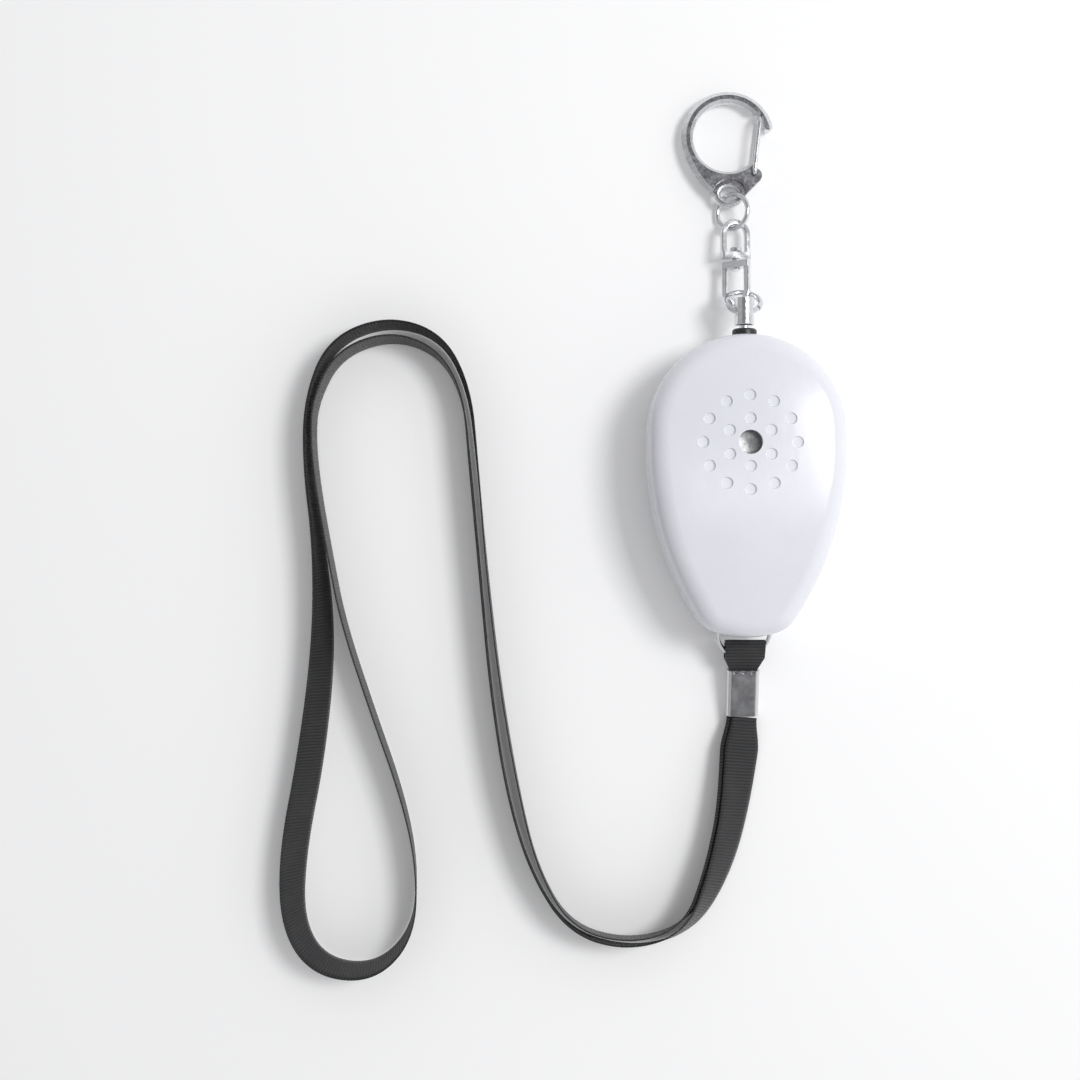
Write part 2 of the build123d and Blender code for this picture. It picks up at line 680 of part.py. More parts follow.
with BuildPart() as battery_spring:
    with Locations((SPRING_BASE_X, CELLS_Y, CELLS_Z)):
        Box(SPRING_SHEET, 9.0, 9.5, align=(Align.MAX, Align.CENTER, Align.CENTER))
    # Bowed leaf that presses on the last cell, with both feet on its plate
    with BuildSketch(Plane.XY.offset(CELLS_Z - SPRING_WIDTH / 2)):
        with BuildLine():
            foot_x = SPRING_BASE_X - SPRING_SHEET
            bow_x = SPRING_BASE_X - SPRING_LENGTH + SEAT
            inner_foot = SPRING_SPAN / 2 - 1.5 * SPRING_SHEET
            ThreePointArc(
                (foot_x, CELLS_Y - SPRING_SPAN / 2),
                (bow_x, CELLS_Y),
                (foot_x, CELLS_Y + SPRING_SPAN / 2),
            )
            Line((foot_x, CELLS_Y + SPRING_SPAN / 2), (foot_x, CELLS_Y + inner_foot))
            ThreePointArc(
                (foot_x, CELLS_Y + inner_foot),
                (bow_x + SPRING_SHEET, CELLS_Y),
                (foot_x, CELLS_Y - inner_foot),
            )
            Line((foot_x, CELLS_Y - inner_foot), (foot_x, CELLS_Y - SPRING_SPAN / 2))
        make_face()
    extrude(amount=SPRING_WIDTH)
battery_spring.part.label = "battery_spring"
export_step(battery_spring.part, "parts/battery_spring.step")


# Pin switch

with BuildPart() as pin_socket:
    with Locations((0, (SOCKET_START + SOCKET_END) / 2, PARTING)):
        Box(2 * SOCKET_HALF_WIDTH, SOCKET_END - SOCKET_START, 2 * SOCKET_HALF_HEIGHT)
    fillet(pin_socket.edges().filter_by(Axis.Y), 0.8)
    with BuildSketch(Plane.XZ.offset(-SOCKET_START)):
        with Locations((0, PARTING)):
            Circle(PIN_RADIUS + LOOSE)
    extrude(amount=-(SOCKET_END - SOCKET_START), mode=Mode.SUBTRACT)
pin_socket.part.label = "pin_socket"
export_step(pin_socket.part, "parts/pin_socket.step")

LEAF_X = -(PIN_RADIUS + LOOSE + LEAF_THICKNESS / 2)
LEAF_BASE = PARTING - LEAF_WIDTH / 2
CONTACT_BUTTON = 0.3
CONTACT_SWING = 1.15
FIXED_TIP_X = LEAF_X + LEAF_THICKNESS / 2 + CONTACT_BUTTON + CONTACT_SWING
FIXED_ARM_X = PIN_RADIUS + 0.6
FIXED_REACH = 5.0
FIXED_GAP = 0.02
EYE_PIN_RADIUS = 0.6
LEAF_EYE_RADIUS = 1.0

# Fixed contact: a strip along the socket's side, round its end and in beside the pin
with BuildPart() as fixed_contact:
    strip_x = SOCKET_HALF_WIDTH + LEAF_THICKNESS / 2
    strip_y = SOCKET_START - LEAF_THICKNESS / 2 - FIXED_GAP
    with BuildLine(Plane.XY.offset(PARTING)) as strip_line:
        Polyline(
            (strip_x, SOCKET_START + FIXED_REACH),
            (strip_x, strip_y),
            (FIXED_ARM_X, strip_y),
            (FIXED_ARM_X, CONTACT_Y),
            (FIXED_TIP_X + LEAF_THICKNESS / 2, CONTACT_Y),
        )
    with BuildSketch(Plane(origin=strip_line.line @ 0, x_dir=(0, 0, 1), z_dir=strip_line.line % 0)):
        Rectangle(LEAF_WIDTH, LEAF_THICKNESS)
    sweep(transition=Transition.RIGHT)
fixed_contact.part.label = "fixed_contact"
export_step(fixed_contact.part, "parts/fixed_contact.step")

# Moving contact: a leaf with a rolled eye that turns on the contact post
with BuildPart() as contact_leaf:
    with BuildSketch(Plane.XY.offset(LEAF_BASE)):
        with Locations((LEAF_X, LEAF_ROOT)):
            Circle(LEAF_EYE_RADIUS)
        with Locations((LEAF_X, (LEAF_ROOT + LEAF_TIP) / 2)):
            Rectangle(LEAF_THICKNESS, LEAF_TIP - LEAF_ROOT)
        with Locations((LEAF_X, LEAF_ROOT)):
            Circle(EYE_PIN_RADIUS + RUNNING, mode=Mode.SUBTRACT)
    extrude(amount=LEAF_WIDTH)
    with BuildSketch(Plane.YZ.offset(LEAF_X)):
        with Locations((CONTACT_Y, PARTING)):
            Circle(CONTACT_RADIUS)
    extrude(amount=LEAF_THICKNESS / 2 + CONTACT_BUTTON)
contact_leaf.part.label = "contact_leaf"
export_step(contact_leaf.part, "parts/contact_leaf.step")

with BuildPart() as contact_post:
    with BuildSketch(Plane.XY.offset(BOARD_TOP)):
        with Locations((LEAF_X, LEAF_ROOT)):
            Circle(LEAF_EYE_RADIUS)
    extrude(amount=LEAF_BASE - RUNNING - BOARD_TOP)
    with BuildSketch(Plane.XY.offset(BOARD_TOP)):
        with Locations((LEAF_X, LEAF_ROOT)):
            Circle(EYE_PIN_RADIUS)
    extrude(amount=LEAF_BASE + LEAF_WIDTH + 0.3 - BOARD_TOP)
contact_post.part.label = "contact_post"
export_step(contact_post.part, "parts/contact_post.step")


def build_wire(points, radius):
    """Insulated lead: straight runs with rounded corners."""
    with BuildPart() as wire:
        with BuildLine():
            lead = FilletPolyline(*points, radius=2.2 * radius)
        with BuildSketch(Plane(origin=lead @ 0, z_dir=lead % 0)):
            Circle(radius)
        sweep()
    return wire.part


LEAD_RADIUS = 0.5
bay_top_y = CELLS_Y + BAY_HALF_WIDTH + BAY_WALL
lead_z = BAY_ROOF + BAY_WALL + LEAD_RADIUS + LOOSE
with BuildPart() as lead_wires:
    # From the two battery contacts, over the bay, to the board
    for side, land_x in ((-1, -11.0), (1, 2.5)):
        start_x = side * (BAY_INNER_LENGTH / 2 - 3.0)
        add(
            build_wire(
                [
                    (start_x, CELLS_Y, lead_z),
                    (start_x, bay_top_y + 2.0, lead_z),
                    (land_x, bay_top_y + 4.0, lead_z - 4.0),
                    (land_x, bay_top_y + 4.0, BOARD_TOP + 0.02),
                ],
                LEAD_RADIUS,
            )
        )
    # From the board up to the sounder's rim and its ceramic
    for reach, land_x in ((11.5, 9.0), (7.0, 3.5)):
        add(
            build_wire(
                [
                    (land_x, 7.5, BOARD_TOP + 0.02),
                    (land_x, 7.5, BOARD_TOP + 4.0),
                    (reach * 0.7, 4.5, BOARD_TOP + 6.0),
                    (reach * 0.7, 4.5, DISC_HEIGHT - DISC_THICKNESS - 0.02),
                ],
                LEAD_RADIUS,
            )
        )
lead_wires.part.label = "lead_wires"
export_step(lead_wires.part, "parts/lead_wires.step")


# Pull pin and bushing

pin_axis = Axis((0, 0, PARTING), (0, 1, 0))

with BuildPart() as pin_bushing:
    with BuildSketch(Plane.YZ):
        with BuildLine():
            Polyline(
                (CASE_TOP + BUSH_FLANGE, PARTING + PIN_RADIUS + RUNNING),
                (CASE_TOP + BUSH_FLANGE, PARTING + BUSH_RADIUS - 0.4),
                (CASE_TOP + BUSH_FLANGE - 0.4, PARTING + BUSH_RADIUS),
                (CASE_TOP, PARTING + BUSH_RADIUS),
                (CASE_TOP, PARTING + BUSH_NECK_RADIUS),
                (CASE_TOP - WALL - BUSH_SETBACK, PARTING + BUSH_NECK_RADIUS),
                (CASE_TOP - WALL - BUSH_SETBACK, PARTING + BUSH_RADIUS),
                (SOCKET_END + LOOSE, PARTING + BUSH_RADIUS),
                (SOCKET_END + LOOSE, PARTING + PIN_RADIUS + RUNNING),
                close=True,
            )
        make_face()
    revolve(axis=pin_axis)
pin_bushing.part.label = "pin_bushing"
export_step(pin_bushing.part, "parts/pin_bushing.step")

with BuildPart() as pull_pin:
    with BuildSketch(Plane.YZ):
        with BuildLine():
            Polyline(
                (PIN_TIP, PARTING),
                (PIN_TIP, PARTING + PIN_RADIUS - PIN_TAPER),
                (PIN_TIP + PIN_TAPER, PARTING + PIN_RADIUS),
                (BARREL_START, PARTING + PIN_RADIUS),
                (BARREL_START, PARTING + BARREL_RADIUS),
                (BARREL_END, PARTING + BARREL_RADIUS),
                (BARREL_END, PARTING),
                close=True,
            )
        make_face()
    revolve(axis=pin_axis)
    barrel_rims = pull_pin.edges().filter_by(GeomType.CIRCLE).filter_by(
        lambda edge: abs(edge.radius - BARREL_RADIUS) < 0.01
    )
    fillet(barrel_rims.sort_by(Axis.Y)[0], BARREL_ROUNDING)
    fillet(barrel_rims.sort_by(Axis.Y)[-1], BARREL_ROUNDING / 3)
    # Cross hole with flared mouths for the ring
    with BuildSketch(Plane.YZ):
        with Locations((CROSS_HOLE_Y, PARTING)):
            Circle(CROSS_HOLE_RADIUS)
    extrude(amount=BARREL_RADIUS + 1, both=True, mode=Mode.SUBTRACT)
    for side in (-1, 1):
        mouth = Plane(
            origin=(side * BARREL_RADIUS, CROSS_HOLE_Y, PARTING), z_dir=(-side, 0, 0)
        )
        with BuildSketch(mouth):
            Circle(CROSS_HOLE_RADIUS + CROSS_HOLE_FLARE)
        extrude(amount=2 * CROSS_HOLE_FLARE, taper=26, mode=Mode.SUBTRACT)
pull_pin.part.label = "pull_pin"
export_step(pull_pin.part, "parts/pull_pin.step")


# Chain

def build_ring(centre, across, normal, radius, wire, gap_at):
    """Round wire jump ring with a small gap, at an angle from its across direction."""
    flat = Plane(origin=centre, x_dir=across, z_dir=normal)
    spoke = flat.from_local_coords(Vector(*polar(1, gap_at + RING_GAP / 2), 0))
    outward = spoke - Vector(*centre)
    with BuildPart() as ring:
        section = Plane(origin=centre, x_dir=outward, z_dir=outward.cross(flat.z_dir))
        with BuildSketch(section):
            with Locations((radius, 0)):
                Circle(wire / 2)
        revolve(axis=Axis(centre, flat.z_dir), revolution_arc=360 - RING_GAP)
    return ring.part


ring_1_out = direction(RING_1_DROOP)
ring_1_centre = Vector(0, CROSS_HOLE_Y, PARTING) + ring_1_out * RING_1_REACH
ring_1_normal = Vector(1, 0, 0).cross(ring_1_out)

with BuildPart() as lower_ring:
    add(
        build_ring(
            ring_1_centre, (1, 0, 0), ring_1_normal, RING_1_RADIUS, RING_1_WIRE, RING_1_GAP_AT
        )
    )
lower_ring.part.label = "lower_ring"
export_step(lower_ring.part, "parts/lower_ring.step")

swivel_out = direction(AXIS_DROOP)
swivel_up = Vector(1, 0, 0).cross(swivel_out)
swivel_start = Vector(AXIS_X, AXIS_Y, AXIS_Z)


def on_swivel(y):
    """Point on the swivel's axis at a place along the object."""
    return swivel_start + swivel_out * ((y - AXIS_Y) / swivel_out.Y)


def roll_direction(roll):
    """Unit vector across the swivel's axis, rolled about it from +X."""
    angle = math.radians(roll)
    return Vector(1, 0, 0) * math.cos(angle) + swivel_up * math.sin(angle)


def build_link(bow, along, across, half_width, length, hole_radius):
    """Swivel link: a U of square-edged bar closed by a plate with a central hole."""
    flat = Plane(origin=bow, x_dir=across, z_dir=across.cross(along))
    with BuildPart() as link:
        with BuildLine(flat) as bend:
            Line((-half_width, length), (-half_width, half_width))
            ThreePointArc((-half_width, half_width), (0, 0), (half_width, half_width))
            Line((half_width, half_width), (half_width, length))
        section = Plane(origin=bend.line @ 0, x_dir=flat.z_dir, z_dir=bend.line % 0)
        with BuildSketch(section):
            RectangleRounded(LINK_BAR, LINK_BAR, 0.42)
        sweep()
        plate = Plane(origin=flat.from_local_coords(Vector(0, length, 0)), x_dir=across, z_dir=along)
        with BuildSketch(plate):
            RectangleRounded(2 * half_width + LINK_BAR, LINK_PLATE_DEPTH, 0.6)
        extrude(amount=LINK_PLATE / 2, both=True)
        with BuildSketch(plate):
            Circle(hole_radius)
        extrude(amount=LINK_PLATE, both=True, mode=Mode.SUBTRACT)
    return link.part


UPPER_LINK_LENGTH = (
    (UPPER_LINK_TOP - AXIS_Y) / swivel_out.Y - LINK_LENGTH - LINK_PLATE - SWIVEL_GAP
)
lower_plate = swivel_start + swivel_out * LINK_LENGTH

with BuildPart() as swivel_lower_link:
    add(
        build_link(
            swivel_start,
            swivel_out,
            roll_direction(LOWER_LINK_ROLL),
            LINK_HALF_WIDTH,
            LINK_LENGTH,
            RIVET_RADIUS + SEAT,
        )
    )
swivel_lower_link.part.label = "swivel_lower_link"
export_step(swivel_lower_link.part, "parts/swivel_lower_link.step")

with BuildPart() as swivel_upper_link:
    add(
        build_link(
            on_swivel(UPPER_LINK_TOP),
            swivel_out * -1,
            roll_direction(UPPER_LINK_ROLL),
            UPPER_LINK_HALF_WIDTH,
            UPPER_LINK_LENGTH,
            RIVET_RADIUS + RUNNING,
        )
    )
swivel_upper_link.part.label = "swivel_upper_link"
export_step(swivel_upper_link.part, "parts/swivel_upper_link.step")

with BuildPart() as swivel_rivet:
    # Tail head seated on the lower plate, shank, and the round head inside the upper link
    rivet_base = Plane(
        origin=lower_plate - swivel_out * (LINK_PLATE / 2), x_dir=(1, 0, 0), z_dir=swivel_out
    )
    with BuildSketch(rivet_base):
        Circle(RIVET_HEAD_RADIUS - 0.4)
    extrude(amount=-0.5)
    with BuildSketch(rivet_base):
        Circle(RIVET_RADIUS)
    extrude(amount=2 * LINK_PLATE + SWIVEL_GAP + LOOSE)
    with BuildSketch(rivet_base.offset(2 * LINK_PLATE + SWIVEL_GAP + LOOSE)):
        Circle(RIVET_HEAD_RADIUS)
    extrude(amount=RIVET_HEAD)
    head_rim = swivel_rivet.edges().filter_by(GeomType.CIRCLE).sort_by(Axis(
        swivel_start, swivel_out
    ))[-1]
    fillet(head_rim, 0.4)
    # Collar that keeps the two plates apart
    with BuildSketch(rivet_base.offset(LINK_PLATE)):
        Circle(RIVET_RADIUS + 0.35)
    extrude(amount=SWIVEL_GAP - LOOSE)
swivel_rivet.part.label = "swivel_rivet"
export_step(swivel_rivet.part, "parts/swivel_rivet.step")

ring_2_across = Vector(
    math.cos(math.radians(RING_2_TILT)), 0, math.sin(math.radians(RING_2_TILT))
)
ring_2_normal = ring_2_across.cross(Vector(0, 1, 0))

with BuildPart() as upper_ring:
    add(
        build_ring(
            RING_2_CENTRE, ring_2_across, ring_2_normal, RING_2_RADIUS, RING_2_WIRE, RING_2_GAP_AT
        )
    )
upper_ring.part.label = "upper_ring"
export_step(upper_ring.part, "parts/upper_ring.step")


# Snap hook, drawn from its eye's centre

hook_plane = Plane(
    origin=EYE, x_dir=(1, 0, 0), z_dir=Vector(1, 0, 0).cross(direction(HOOK_DROOP))
)
GATE_PIVOT = (6.25, 5.1)
MOUTH = (-0.35, MOUTH_RISE)
BACK = (-0.25, MOUTH_RISE)


def around(centre, radius, degrees):
    """Point on a circle."""
    step = polar(radius, degrees)
    return (centre[0] + step[0], centre[1] + step[1])


def hook_outline():
    """Closed profile: nose, round back, flank, eye end, gate lobe, mouth and notch."""
    nose = around(BACK, HOOK_OUTER_RADIUS, 15)
    flank = around(BACK, HOOK_OUTER_RADIUS, 196)
    eye_side = EYE_HALF_WIDTH + EYE_BAR
    eye_left = (-eye_side, EYE_SHOULDER)
    eye_right = (eye_side, EYE_SHOULDER)
    lobe_low = (7.3, 2.9)
    lobe_top = (6.9, 6.4)
    mouth_low = around(MOUTH, HOOK_MOUTH_RADIUS, -45)
    mouth_high = around(MOUTH, HOOK_MOUTH_RADIUS, 44)
    gate_end_x = GATE_PIVOT[0] + GATE_LENGTH * math.sin(math.radians(GATE_LEAN))
    gate_end_y = GATE_PIVOT[1] + GATE_LENGTH * math.cos(math.radians(GATE_LEAN))
    seat = math.sqrt(2) * (GATE_WIRE / 2 + LOOSE)
    seat_top = (gate_end_x - SEAT, gate_end_y + seat + SEAT)
    seat_side = (gate_end_x + seat + SEAT, gate_end_y - SEAT)
    lip = (8.8, 17.9)
    with BuildSketch() as outline:
        with BuildLine():
            ThreePointArc(nose, around(BACK, HOOK_OUTER_RADIUS, 105), flank)
            TangentArc(flank, eye_left, tangent=around((0, 0), 1, 196 + 90))
            Line(eye_left, eye_right)
            Line(eye_right, lobe_low)
            ThreePointArc(lobe_low, (8.25, 4.9), lobe_top)
            Line(lobe_top, mouth_low)
            ThreePointArc(mouth_low, around(MOUTH, HOOK_MOUTH_RADIUS, 180), mouth_high)
            # Notch that the gate's end closes into, and the lip at the nose
            Polyline(mouth_high, seat_top, seat_side, lip)
            ThreePointArc(lip, (9.7, 16.3), nose)
        make_face()
    return outline.sketch


with BuildPart() as hook_frame:
    with BuildSketch(hook_plane):
        add(hook_outline())
    extrude(amount=HOOK_THICKNESS / 2, both=True)
    # Bevels along the back and flank, and round the mouth
    half = HOOK_THICKNESS / 2
    rims = hook_frame.edges().filter_by(GeomType.CIRCLE).filter_by(
        lambda edge: abs(abs(hook_plane.to_local_coords(edge.center()).Z) - half) < 0.01
    )
    mouth_rims = rims.filter_by(lambda edge: abs(edge.radius - HOOK_MOUTH_RADIUS) < 0.01)
    chamfer(mouth_rims, MOUTH_BEVEL)
    rims = hook_frame.edges().filter_by(GeomType.CIRCLE).filter_by(
        lambda edge: abs(abs(hook_plane.to_local_coords(edge.center()).Z) - half) < 0.01
    )
    chamfer(rims.filter_by(lambda edge: edge.radius > HOOK_MOUTH_RADIUS + MOUTH_BEVEL), HOOK_BEVEL)
    # Eye: the body is thinned round it, and a round bar closes it
    for side in (-1, 1):
        with BuildSketch(hook_plane.offset(side * EYE_BAR / 2)):
            Ellipse(EYE_HALF_WIDTH + EYE_RECESS, EYE_HALF_HEIGHT + EYE_RECESS)
        extrude(amount=side * HOOK_THICKNESS, mode=Mode.SUBTRACT)
    eye_across = EYE_HALF_WIDTH + EYE_BAR / 2
    eye_along = EYE_HALF_HEIGHT + EYE_BAR / 2
    with BuildSketch(hook_plane):
        Ellipse(eye_across, eye_along)
    extrude(amount=HOOK_THICKNESS, both=True, mode=Mode.SUBTRACT)
    with BuildLine(hook_plane) as eye_line:
        for start in (0, 180):
            EllipticalCenterArc((0, 0), eye_across, eye_along, start, arc_size=180)
    with BuildSketch(Plane(origin=eye_line.line @ 0, z_dir=eye_line.line % 0)):
        Circle(EYE_BAR / 2)
    sweep()
    # Pivot hole for the gate
    with BuildSketch(hook_plane):
        with Locations(GATE_PIVOT):
            Circle(GATE_WIRE / 2 + LOOSE)
    extrude(amount=HOOK_THICKNESS, both=True, mode=Mode.SUBTRACT)
hook_frame.part.label = "hook_frame"
export_step(hook_frame.part, "parts/hook_frame.step")

gate_side = HOOK_THICKNESS / 2 + GATE_WIRE / 2 + SEAT
lean = math.radians(GATE_LEAN)
gate_pivot = hook_plane.from_local_coords(Vector(*GATE_PIVOT, 0))
gate_out = hook_plane.from_local_coords(
    Vector(GATE_PIVOT[0] + math.sin(lean), GATE_PIVOT[1] + math.cos(lean), 0)
) - gate_pivot
gate_plane = Plane(
    origin=gate_pivot, x_dir=gate_out, z_dir=gate_out.cross(hook_plane.z_dir)
)

with BuildPart() as hook_gate:
    with BuildLine(gate_plane) as gate_path:
        FilletPolyline(
            (0, 0.25),
            (0, gate_side),
            (GATE_LENGTH, gate_side),
            (GATE_LENGTH, -gate_side),
            (0, -gate_side),
            (0, -0.25),
            radius=[0.8, gate_side - 0.05, gate_side - 0.05, 0.8],
        )
    with BuildSketch(Plane(origin=gate_path.line @ 0, z_dir=gate_path.line % 0)):
        Circle(GATE_WIRE / 2)
    sweep()
hook_gate.part.label = "hook_gate"
export_step(hook_gate.part, "parts/hook_gate.step")


# Strap ring with the ribbon loop and the crimp

ring_out = Vector(
    0,
    -math.cos(math.radians(STRAP_RING_DROOP)),
    -math.sin(math.radians(STRAP_RING_DROOP)),
)
strap_ring_plane = Plane(
    origin=(0, STRAP_RING_BAR_Y, PARTING), x_dir=(1, 0, 0), z_dir=Vector(1, 0, 0).cross(ring_out)
)
BAR_JOIN = 0.4

with BuildPart() as strap_ring:
    with BuildLine(strap_ring_plane) as ring_wire:
        FilletPolyline(
            (-BAR_JOIN, 0),
            (-STRAP_RING_RADIUS, 0),
            (-STRAP_RING_RADIUS, STRAP_RING_LEG),
            radius=STRAP_RING_CORNER,
        )
        ThreePointArc(
            (-STRAP_RING_RADIUS, STRAP_RING_LEG),
            (0, STRAP_RING_LEG + STRAP_RING_RADIUS),
            (STRAP_RING_RADIUS, STRAP_RING_LEG),
        )
        FilletPolyline(
            (STRAP_RING_RADIUS, STRAP_RING_LEG),
            (STRAP_RING_RADIUS, 0),
            (BAR_JOIN, 0),
            radius=STRAP_RING_CORNER,
        )
    with BuildSketch(Plane(origin=ring_wire.line @ 0, z_dir=ring_wire.line % 0)):
        Circle(STRAP_RING_WIRE / 2)
    sweep()
strap_ring.part.label = "strap_ring"
export_step(strap_ring.part, "parts/strap_ring.step")

crimp_out = Vector(
    0, -math.cos(math.radians(CRIMP_DROOP)), -math.sin(math.radians(CRIMP_DROOP))
)
crimp_top = Vector(CRIMP_X, CRIMP_TOP[0], CRIMP_TOP[1])
# The fold lies just outside the wire where the wire leaves the ribbon's edges
fold_reach = (
    STRAP_RING_LEG
    + math.sqrt(STRAP_RING_RADIUS**2 - (RIBBON_WIDTH / 2 + CRIMP_X) ** 2)
    - STRAP_RING_WIRE / 2
    - 3 * LOOSE
)
fold = Vector(CRIMP_X, STRAP_RING_BAR_Y, PARTING) + ring_out * fold_reach
loop_line = crimp_top - fold
loop_length = loop_line.length
loop_plane = Plane(origin=fold, x_dir=loop_line, z_dir=(1, 0, 0))
LOOP_GAP = 1.0
CRIMP_GRIP = 0.15


def loop_teardrop(grow):
    """Section of the folded ribbon: round at the fold, closing towards the crimp."""
    with BuildSketch() as section:
        with Locations((LOOP_GAP, 0), (LOOP_GAP + 2.6, 0)):
            Circle(LOOP_GAP + grow)
        with Locations((loop_length, 0)):
            Circle(CRIMP_GRIP + grow)
        make_hull()
    return section.sketch


with BuildPart() as strap_loop:
    with BuildSketch(loop_plane):
        add(loop_teardrop(RIBBON_THICKNESS))
    extrude(amount=RIBBON_WIDTH / 2, both=True)
    with BuildSketch(loop_plane):
        add(loop_teardrop(0))
    extrude(amount=RIBBON_WIDTH, both=True, mode=Mode.SUBTRACT)
    # The ribbon is gathered to the crimp's inner width
    with BuildSketch(Plane.XY):
        with BuildLine():
            half_loop = RIBBON_WIDTH / 2
            half_grip = CRIMP_WIDTH / 2 - 0.6
            Polyline(
                (CRIMP_X - half_loop, fold.Y + 3),
                (CRIMP_X - half_loop, fold.Y - 4),
                (CRIMP_X - half_grip, crimp_top.Y),
                (CRIMP_X + half_grip, crimp_top.Y),
                (CRIMP_X + half_loop, fold.Y - 4),
                (CRIMP_X + half_loop, fold.Y + 3),
                close=True,
            )
        make_face()
    extrude(amount=PARTING, mode=Mode.INTERSECT)
strap_loop.part.label = "strap_loop"
export_step(strap_loop.part, "parts/strap_loop.step")

crimp_plane = Plane(origin=crimp_top - crimp_out * 0.1, x_dir=(1, 0, 0), z_dir=crimp_out)
BITE_RADIUS = 0.7
BITE_DEPTH = 0.45
BITE_SPACING = 2.2

with BuildPart() as strap_crimp:
    with BuildSketch(crimp_plane):
        RectangleRounded(CRIMP_WIDTH, CRIMP_THICKNESS, CRIMP_ROUNDING)
    extrude(amount=CRIMP_LENGTH)
    # Mouth pockets that the ribbon enters at both ends
    for end_offset, inward in ((0, 1), (CRIMP_LENGTH, -1)):
        with BuildSketch(crimp_plane.offset(end_offset)):
            RectangleRounded(CRIMP_WIDTH - 1.0, 1.8, 0.6)
        extrude(amount=inward * 1.5, mode=Mode.SUBTRACT)
    # Bite marks of the closing tool along the upper edge
    bite_plane = Plane(origin=crimp_top, x_dir=(1, 0, 0), z_dir=Vector(1, 0, 0).cross(crimp_out * -1))
    with BuildSketch(bite_plane.offset(CRIMP_THICKNESS / 2 - BITE_DEPTH)):
        with GridLocations(BITE_SPACING, 1, 3, 1):
            Circle(BITE_RADIUS)
    extrude(amount=CRIMP_THICKNESS / 2, mode=Mode.SUBTRACT)
strap_crimp.part.label = "strap_crimp"
export_step(strap_crimp.part, "parts/strap_crimp.step")


# Lanyard

def corner_radii(points):
    """As large an arc at each corner as its two runs allow."""
    radii = []
    for before, at, after in zip(points, points[1:], points[2:]):
        run_in = Vector(*at) - Vector(*before)
        run_out = Vector(*after) - Vector(*at)
        half_turn = math.radians(run_in.get_angle(run_out)) / 2
        shorter = min(run_in.length, run_out.length)
        radii.append(0.45 * shorter / math.tan(half_turn))
    return radii


strap_middle = STRAP_CLEARANCE + RIBBON_WIDTH / 2
strap_points = [(x, y, strap_middle) for x, y in STRAP_ROUTE]
strap_radii = corner_radii(strap_points)

with BuildPart() as strap:
    with BuildLine() as strap_line:
        FilletPolyline(*strap_points, radius=strap_radii)
    with BuildSketch(Plane(origin=strap_line.line @ 0, x_dir=(0, 0, 1), z_dir=strap_line.line % 0)):
        Rectangle(RIBBON_WIDTH, STRAP_THICKNESS)
    sweep()
    # The ribbon turns flat towards the crimp, so its upper edge comes down there
    crimp_end = crimp_top + crimp_out * CRIMP_LENGTH
    with BuildSketch(Plane.YZ):
        with BuildLine():
            Polyline(
                (crimp_end.Y + 5, crimp_end.Z + CRIMP_THICKNESS / 2),
                (crimp_end.Y, crimp_end.Z + CRIMP_THICKNESS / 2),
                (STRAP_TAPER_END, RIBBON_WIDTH + 2 * STRAP_CLEARANCE),
                (crimp_end.Y + 5, RIBBON_WIDTH + 2 * STRAP_CLEARANCE),
                close=True,
            )
        make_face()
    extrude(amount=15, both=True, mode=Mode.SUBTRACT)
strap.part.label = "strap"
export_step(strap.part, "parts/strap.step")

route_length = sum(edge.length for edge in strap_line.edges())
print("strap radii", [round(value, 1) for value in strap_radii])
print("strap length", round(route_length, 1), "volume", round(strap.part.volume, 1))
print("section times length", round(route_length * RIBBON_WIDTH * STRAP_THICKNESS, 1))
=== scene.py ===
import math

import bmesh
import bpy
import numpy as np
from mathutils import Matrix, Vector
from mathutils.bvhtree import BVHTree
from mathutils.geometry import barycentric_transform


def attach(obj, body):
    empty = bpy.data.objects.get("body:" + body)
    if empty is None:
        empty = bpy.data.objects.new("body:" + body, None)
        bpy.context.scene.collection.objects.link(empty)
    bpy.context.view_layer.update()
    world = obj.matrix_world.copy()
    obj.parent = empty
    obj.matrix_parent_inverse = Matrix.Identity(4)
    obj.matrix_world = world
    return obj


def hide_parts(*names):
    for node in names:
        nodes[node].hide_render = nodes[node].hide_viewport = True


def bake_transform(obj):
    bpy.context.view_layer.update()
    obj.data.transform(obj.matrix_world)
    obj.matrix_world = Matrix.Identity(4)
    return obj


# Personal safety alarm, lying on its back on a white table, seen from straight above.
# Metres, in the model's own frame: +Z out of the case's front, +Y towards the hook.

MM = 0.001

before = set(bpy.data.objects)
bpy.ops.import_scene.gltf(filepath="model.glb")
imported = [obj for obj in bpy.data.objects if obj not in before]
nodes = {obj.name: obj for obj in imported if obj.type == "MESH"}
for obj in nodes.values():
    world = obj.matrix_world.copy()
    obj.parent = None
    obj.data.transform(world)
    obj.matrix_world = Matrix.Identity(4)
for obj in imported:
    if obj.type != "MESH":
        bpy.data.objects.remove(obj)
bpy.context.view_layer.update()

# Camera
CAMERA_PLACE = (-51.1 * MM, -23.8 * MM, 370 * MM)
CAMERA_LENS = 47.8
SENSOR = 36.0

# Light and table
TABLE_COLOUR = (0.955, 0.955, 0.96)
TABLE_SIZE = 4.0
TABLE_LIFT = 0.06
SKY_TOP = 0.30
SKY_RAMP = (0.62, 0.97)
SKY_LEFT = 0.62
SKY_RIGHT = 1.22
SKY_SIDE = 0.72
KEY_PLACE = (0.44, 0.15, 0.78)
KEY_SIZE = 0.30
KEY_POWER = 3.9
STRIP_PLACE = (0.155, 0.01, 0.92)
STRIP_SIZE = (0.14, 0.42)
STRIP_POWER = 0.4

